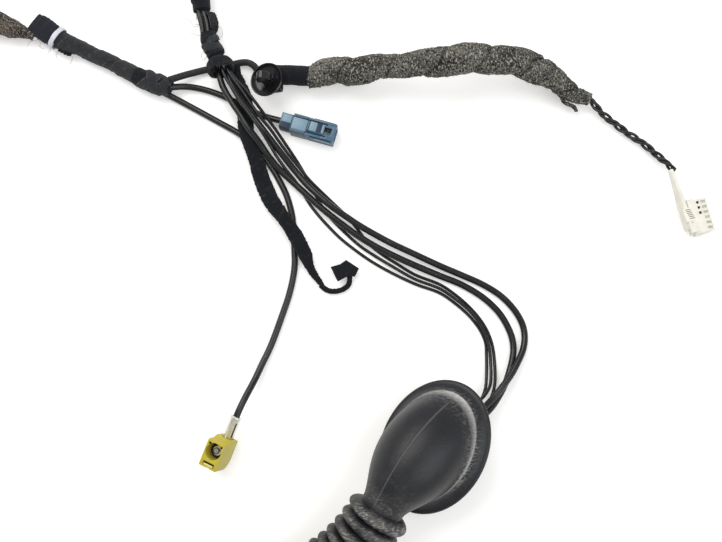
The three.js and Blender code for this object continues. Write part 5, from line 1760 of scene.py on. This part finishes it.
@dataclass
class WhiteBranch:
    """Three twisted wires and the white connector."""

    @staticmethod
    def slimmed(point: Vector) -> Vector:
        """Thin the hood towards the housing and its cable end."""
        front = -5.16
        up = max(point.y, 0.0) / 24
        taper = 1 - 0.22 * up
        below = point.y * 0.72 if point.y < 0 else point.y
        return Vector((front - 0.9 * up + (point.x - front) * (0.9 - 0.25 * up), below, point.z * taper))

    @staticmethod
    def details() -> list[Row]:
        """Painted shade in the white connector's windows, comb slots and between the ribs of its inner block, and its
        inner and side blocks.
        """
        rows: list[Row] = []
        # Pale slabs painted as shade in the comb slots, and black slabs painted as the shade in three windows over the
        # terminals.
        for way in range(6):
            across = (way - 2.5) * 2.5
            rows.append((f"white_slot_{way}", (3.6, 1.1, 0.12), (3.3, across, 1.9), SLOT_SHADE, Slot.WHITE))
            if way > 2:
                rows.append((f"white_window_{way}", (1.7, 1.2, 0.2), (-0.1, across, 2.3), SOCKET_SHADE, Slot.WHITE))
        rows.append(("white_inner", (4.6, 6.4, 1.0), (-6.2, 1.2, 2.5), IVORY_PLASTIC, Slot.WHITE))
        # Thin dark slabs painted as shade between the inner block's ribs.
        for number in range(6):
            place = (-6.3 + 0.25 * number, 3.6 - 0.85 * number, 3.0)
            rows.append((f"white_rib_{number}", (2.8, 0.34, 0.12), place, RIB_SHADE, Slot.WHITE))
        rows.append(("white_block", (4.2, 4.2, 1.2), (-5.4, -5.2, 2.7), IVORY_PLASTIC, Slot.WHITE))
        return rows

    turns: float = 3.5
    radius: float = 1.15
    phases: tuple[float, ...] = (0.0, 0.22, 0.56)
    place: Place = (156.7, 24.7, 5.2)
    lean: float = 14
    heading: float = 13.3

    def strand(self, number: int) -> Route:
        """Route of one of the three wires round the others."""
        track = Track(lengthened(ROUTES["twist"], 3.0, 2.0), 0.8)
        count = len(track.points) - 1
        places: list[Place] = []
        for index, centre in enumerate(track.points):
            side, lift = track.axes(index)
            angle = 2 * math.pi * (self.turns * index / count + self.phases[number])
            gathered = self.radius - 0.35 * (2 * index / count - 1) ** 6
            spot = centre + side * (gathered * math.cos(angle)) + lift * (gathered * math.sin(angle))
            places.append(tuple(spot))
        return places

    def build(self) -> None:
        """Build the connector, then the wires that carry it."""
        pose = (
            Matrix.Translation(self.place)
            @ Matrix.Rotation(math.radians(self.heading), 4, "Z")
            @ Matrix.Rotation(math.radians(self.lean), 4, "Y")
        )
        hood = fine_copy("white_connector_hood", "white_hood", 0.4)
        reshape(hood, pose, self.slimmed)
        pieces = [
            dress(
                fine_copy("white_connector_housing", "white_housing", 0.18),
                IVORY_PLASTIC, Slot.WHITE, "white_connector_housing",
            ),
            dress(hood, IVORY_PLASTIC, Slot.WHITE, "white_connector_hood"),
        ]
        pieces += fittings(pose, self.details())
        for letter in "abc":
            node = f"white_terminal_{letter}"
            pieces.append(dress(fine_copy(node, f"terminal_{letter}", 0.1), TIN, Slot.TIN, node))
        for number, letter in enumerate("abc"):
            name = f"twisted_wire_{letter}"
            cable = Cable(name, TWISTED_WIRE, self.strand(number), FarEnd.CONNECTOR, stiffness="limp")
            cable.build(pieces)


def contact_pieces(colour: str, sleeve: Finish = TIN) -> list[Piece]:
    """Sleeve, insulator and pin inside a coaxial connector."""
    parts = (
        ("outer_contact", sleeve, Slot.TIN, 0.12),
        ("insulator", INSULATOR, Slot.INSULATOR, 0.1),
        ("centre_contact", BRASS, Slot.BRASS, 0.08),
    )
    return [
        dress(fine_copy(f"{colour}_{part}", f"{colour}_{part}_fine", rounding), finish, slot, f"{colour}_{part}")
        for part, finish, slot, rounding in parts
    ]


@dataclass
class BlueConnector:
    """Blue coaxial connector with its lock sleeve, on its cable."""

    place: Place = (-38.1, 71.4, 4.5)
    heading: float = -16

    def build(self) -> None:
        """Build the connector and lay its cable."""
        pose = Matrix.Translation(self.place) @ Matrix.Rotation(math.radians(self.heading), 4, "Z")
        housing = fine_copy("blue_housing", "blue_shell", 0.22)
        lock = fine_copy("blue_lock", "blue_lock_sleeve", 0.25)
        pieces = [
            dress(housing, BLUE_PLASTIC, Slot.BLUE, "blue_housing"),
            dress(lock, GREY_BLUE, Slot.PALE_BLUE, "blue_lock"),
            *contact_pieces("blue"),
            *fittings(pose, self.details()),
        ]
        route = lengthened(ROUTES["coax_to_blue"], 2.0, 1.0)
        Cable("coax_to_blue", COAX, route, FarEnd.CONNECTOR).build(pieces)

    @staticmethod
    def details() -> tuple[Row, ...]:
        """Plates and ridges on the connector's top and front side, with painted shade in its gaps, grooves and latch
        window and on its front side, which faces away from the key lamp.
        """
        return (
            ("blue_rear_square", (5.0, 2.6, 0.16), (3.0, -2.15, 3.54), DEEP_BLUE_SHADE, Slot.BLUE),
            ("blue_rear_side", (5.0, 0.16, 5.0), (3.0, -3.54, 0.6), DEEP_BLUE_SHADE, Slot.BLUE),
            ("blue_rear_plate", (4.4, 3.8, 0.16), (3.2, 1.2, 3.54), PALE_BLUE, Slot.PALE_BLUE),
            ("blue_lock_plate", (7.0, 5.6, 0.3), (9.7, -0.35, 4.28), PALE_BLUE, Slot.PALE_BLUE),
            ("blue_lock_line", (6.8, 0.5, 0.12), (9.5, 2.85, 4.24), DEEP_BLUE_SHADE, Slot.BLUE),
            ("blue_lock_side", (6.8, 0.14, 5.6), (9.5, -4.42, 0.9), TEAL_SHADE, Slot.BLUE),
            ("blue_gap_a", (0.45, 7.6, 0.2), (13.1, 0, 4.16), DEEP_BLUE_SHADE, Slot.BLUE),
            ("blue_gap_b", (0.35, 6.4, 0.2), (14.3, 0, 4.9), DEEP_BLUE_SHADE, Slot.BLUE),
            ("blue_front_plate", (3.4, 4.4, 0.3), (16.3, 0.2, 4.86), PALE_BLUE, Slot.PALE_BLUE),
            ("blue_front_band", (2.2, 4.4, 0.3), (19.1, 0.2, 4.84), DEEP_BLUE_SHADE, Slot.BLUE),
            ("blue_front_sill", (1.1, 4.4, 0.8), (21.0, 0.2, 4.4), PALE_BLUE, Slot.PALE_BLUE),
            ("blue_latch_floor", (3.2, 3.0, 0.2), (23.4, 0.3, 3.2), SOCKET_SHADE, Slot.BLUE),
            ("blue_latch_sill", (3.4, 1.2, 0.9), (23.4, -1.2, 3.66), TEAL_SHADE, Slot.BLUE),
            ("blue_north_ridge", (11.8, 0.8, 0.5), (20.6, 3.8, 4.2), GREY_BLUE, Slot.PALE_BLUE),
            ("blue_north_line", (9.3, 0.66, 0.3), (18.2, 2.9, 3.5), DEEP_BLUE_SHADE, Slot.BLUE),
            ("blue_south_line", (9.3, 0.66, 0.3), (18.2, -2.9, 3.5), DEEP_BLUE_SHADE, Slot.BLUE),
            ("blue_south_slot", (10.8, 0.16, 1.2), (20.4, -4.33, 3.35), DEEP_BLUE_SHADE, Slot.BLUE),
            ("blue_south_base", (10.8, 0.16, 2.6), (20.4, -4.33, -1.6), DEEP_BLUE_SHADE, Slot.BLUE),
            ("blue_south_ridge", (7.6, 0.5, 0.5), (21.8, -4.9, 2.5), PALE_BLUE, Slot.PALE_BLUE),
        )


@dataclass
class YellowConnector:
    """Yellow angled coaxial connector with its ferrule, on its cable."""

    place: Place = (-65, -83.9, 15.3)
    mating: Place = (-0.28, -0.09, 0.956)
    to_cable: Place = (0.42, 0.9, 0)
    socket_lift: float = 1.2
    socket_radius: float = 3.8
    core_front: float = -3.4

    def pose(self) -> Matrix:
        """The connector's axes: out of its socket, towards its cable, and across."""
        mating = Vector(self.mating).normalized()
        to_cable = Vector(self.to_cable)
        to_cable = (to_cable - mating * to_cable.dot(mating)).normalized()
        turn = Matrix((mating, to_cable, mating.cross(to_cable))).transposed().to_4x4()
        return Matrix.Translation(self.place) @ turn

    def painted_socket_shade(self, pose: Matrix) -> list[Piece]:
        """Painted shade on the socket's wall and floor, and round its insulator."""
        outer = self.socket_radius - 0.01
        core = self.core_front
        profiles = (
            ("yellow_core_shade", ((1.55, core), (1.15, core), (1.15, core + 0.15), (1.55, core + 0.15)), SOCKET_SHADE_BROWN),
            ("yellow_wall_shade", ((outer, -1.0), (outer - 0.15, -1.3), (outer - 0.15, -6), (outer, -6)), SHADED_YELLOW),
            ("yellow_floor_shade", ((outer, -5.9), (2.2, -5.9), (2.2, -6.2), (outer, -6.2)), SOCKET_SHADE_BROWN),
        )
        pieces: list[Piece] = []
        for name, profile, finish in profiles:
            rings = [
                [
                    pose @ Vector((x, self.socket_lift + r * math.cos(a), r * math.sin(a)))
                    for a in (2 * math.pi * side / 40 for side in range(40))
                ]
                for r, x in profile
            ]
            pieces.append(dress(skin(name, rings, True), finish, Slot.YELLOW))
        return pieces

    @staticmethod
    def details() -> tuple[Row, ...]:
        """Painted shade in the key notches and the lower slot, a light bar and foot painted as highlights beside that
        slot, and the ferrule's seam.
        """
        return (
            ("yellow_key_left", (0.2, 1.5, 1.5), (-1.3, 4.2, 3.0), SOCKET_SHADE_BROWN, Slot.YELLOW),
            ("yellow_key_right", (0.2, 1.5, 1.5), (-1.3, 4.2, -2.9), SOCKET_SHADE_BROWN, Slot.YELLOW),
            ("yellow_slot_floor", (0.2, 1.8, 5.5), (-1.5, -4.9, 0), SOCKET_SHADE_BROWN, Slot.YELLOW),
            ("yellow_slot_bar", (0.8, 0.75, 4.6), (-0.45, -5.3, 0), HIGHLIGHT_YELLOW, Slot.YELLOW),
            ("yellow_foot", (0.4, 0.5, 2.0), (-0.1, -6.35, -0.6), HIGHLIGHT_YELLOW, Slot.YELLOW),
            ("ferrule_seam", (0.5, 6.6, 0.5), (-9.3, 11.2, -1.9), SOCKET_SHADE, Slot.TIN),
        )

    @staticmethod
    def trimmed(point: Vector) -> Vector:
        """Bring the housing's back a little nearer."""
        back = -11.0
        return Vector((back + (point.x - back) * 0.6, point.y, point.z)) if point.x < back else point

    def build(self) -> None:
        """Build the connector and lay its cable."""
        pose = self.pose()
        shell = reshape(fine_copy("yellow_housing", "yellow_shell", 0.3), pose, self.trimmed)
        pieces = [
            dress(shell, YELLOW_PLASTIC, Slot.YELLOW, "yellow_housing"),
            dress(fine_copy("yellow_ferrule", "yellow_crimp", 0.1), FERRULE_TIN, Slot.TIN, "yellow_ferrule"),
            # The outer contact takes matte near-white as a painted reflection in place of plated metal.
            *contact_pieces("yellow", CONTACT_REFLECTION),
            *self.painted_socket_shade(pose),
            *fittings(pose, self.details()),
        ]
        route = lengthened(ROUTES["coax_to_yellow"], 2.0, 1.5)
        Cable("coax_to_yellow", COAX, route, FarEnd.CONNECTOR).build(pieces)


@dataclass
class TapedSpur:
    """Flat taped spur with its lead and the torn flag on it."""

    widths: tuple[float, ...] = (3.4, 6.6, 7.8, 7.8, 7, 6.8, 7.6, 7.8, 7.6, 6.2, 7, 6.6, 3.8, 2.2)
    heights: tuple[float, ...] = (2.4, 2.6, 2.6, 2.5, 2.5, 2.6, 2.6, 2.6, 2.5, 2.4, 2.4, 2.2, 2)

    def build(self) -> None:
        """Build the spur from its start to its flag."""
        lap = Lap(13.0, 0.22, 0.6, 4.0)

        def shape(at: float, distance: float, angle: float) -> Section:
            rise, fray_and_fold_shade = lap.at(distance, angle)
            edge = abs(math.cos(angle)) ** 8
            torn = 0.35 * noise.noise(Vector((distance * 0.9, math.cos(angle), 7.0))) * edge
            return Section(
                spread(self.widths, at), spread(self.heights, at) - 0.3, 0.0, rise + torn - 0.1, max(fray_and_fold_shade, 0.5 * edge)
            )

        piece = wrapped_bar("spur_wrap", lengthened(ROUTES["spur"], 0.0, 0.8), shape, 48, 0.5)
        dress(piece, CLOTH_TAPE, Slot.TAPE, "spur_tape")
        lead = wrapped_bar(
            "spur_end_lead",
            lengthened(ROUTES["spur_lead"], 1.2, 2.2),
            lambda at, distance, angle: Section(2.5, 1.7, 0.0, 0.2 * noise.noise(Vector((distance, angle, 2.0)))),
            20,
            0.5,
        )
        dress(lead, CLOTH_TAPE, Slot.TAPE, "spur_lead")
        flag = fine_copy("spur_flag", "spur_torn_flag", 0.2)
        dress(flag, CLOTH_TAPE, Slot.TAPE, "spur_flag")


@dataclass
class ClipLead:
    """Cloth-covered lead that ends under the retainer clip."""

    def build(self) -> None:
        """Lay the lead."""
        Cable(
            "clip_lead", CLIP_LEAD, lengthened(ROUTES["clip_lead"], 2.0), FarEnd.OBJECT, DUSTY_TAPE, Slot.TAPE
        ).build()


@dataclass
class Studio:
    """Camera, lamps, floor and surroundings."""

    distance: float = 0.4673
    elevation: float = 80.0
    aim: Place = (0.0, 0.0, 0.0)

    def camera(self) -> None:
        """Place the camera above the harness, as the photograph was taken."""
        lens = bpy.data.cameras.new("camera")
        lens.lens = 50.0
        lens.sensor_width = 36.0
        holder = bpy.data.objects.new("camera", lens)
        bpy.context.scene.collection.objects.link(holder)
        rise = math.radians(self.elevation)
        aim = placed(self.aim)
        offset = Vector((0, -math.cos(rise), math.sin(rise))) * self.distance
        holder.location = aim + offset
        holder.rotation_euler = (math.pi / 2 - rise, 0, 0)
        bpy.context.scene.camera = holder

    def lamp(self, name: str, place: Place, size: float, power: float, color: Color) -> None:
        """Hang a soft square lamp that faces the harness."""
        light = bpy.data.lights.new(name, "AREA")
        light.size = size
        light.energy = power
        light.color = color
        holder = bpy.data.objects.new(name, light)
        bpy.context.scene.collection.objects.link(holder)
        holder.location = place
        holder.rotation_euler = (-Vector(place)).to_track_quat("-Z", "Y").to_euler()

    def floor(self) -> None:
        """Lay a white floor that keeps the harness's shadow."""
        bpy.ops.mesh.primitive_plane_add(size=6.0)
        plane = bpy.context.active_object
        plane.name = "floor"
        tree = Tree("floor_white", 0.9)
        tree.set("Base Color", (0.86, 0.85, 0.83, 1.0))
        tree.set("Specular IOR Level", 0.1)
        path = tree.nodes.new("ShaderNodeLightPath")
        seen = tree.math("MAXIMUM", path.outputs["Is Camera Ray"], path.outputs["Is Glossy Ray"])
        seen = tree.math("MAXIMUM", seen, path.outputs["Is Transmission Ray"])
        glow = tree.math("MULTIPLY", seen, 0.3)
        tree.set("Emission Color", (1.0, 0.99, 0.97, 1.0))
        tree.links.new(glow, tree.shader.inputs["Emission Strength"])
        plane.data.materials.append(tree.material)

    def surroundings(self) -> None:
        """Even pale light from all round."""
        world = bpy.data.worlds.new("surroundings")
        world.use_nodes = True
        background = world.node_tree.nodes["Background"]
        background.inputs["Color"].default_value = (0.97, 0.98, 1.0, 1.0)
        background.inputs["Strength"].default_value = 0.55
        bpy.context.scene.world = world

    def build(self) -> None:
        """Set up the studio."""
        bpy.context.scene.view_settings.view_transform = "Standard"
        self.camera()
        self.floor()
        self.surroundings()
        self.lamp("key", (-0.35, 0.55, 0.9), 0.9, 9.0, (1.0, 0.98, 0.95))
        self.lamp("fill", (0.6, -0.3, 0.8), 0.8, 4.0, (0.95, 0.97, 1.0))


def main() -> None:
    """Build the studio, the cables and every sub-assembly in order."""
    logging.basicConfig(level=logging.INFO, format="%(name)s: %(message)s")
    Studio().build()
    MainBundle().build()
    YellowConnector().build()
    BlueConnector().build()
    ClipLead().build()
    WhiteBranch().build()
    boot = RubberBoot()
    boot.build()
    TailBundle(boot).build()
    UpperTaping().build()
    LeftArm().build()
    RetainerClip().build()
    FleeceBranch().build()
    TapedSpur().build()


if __name__ == "__main__":
    main()
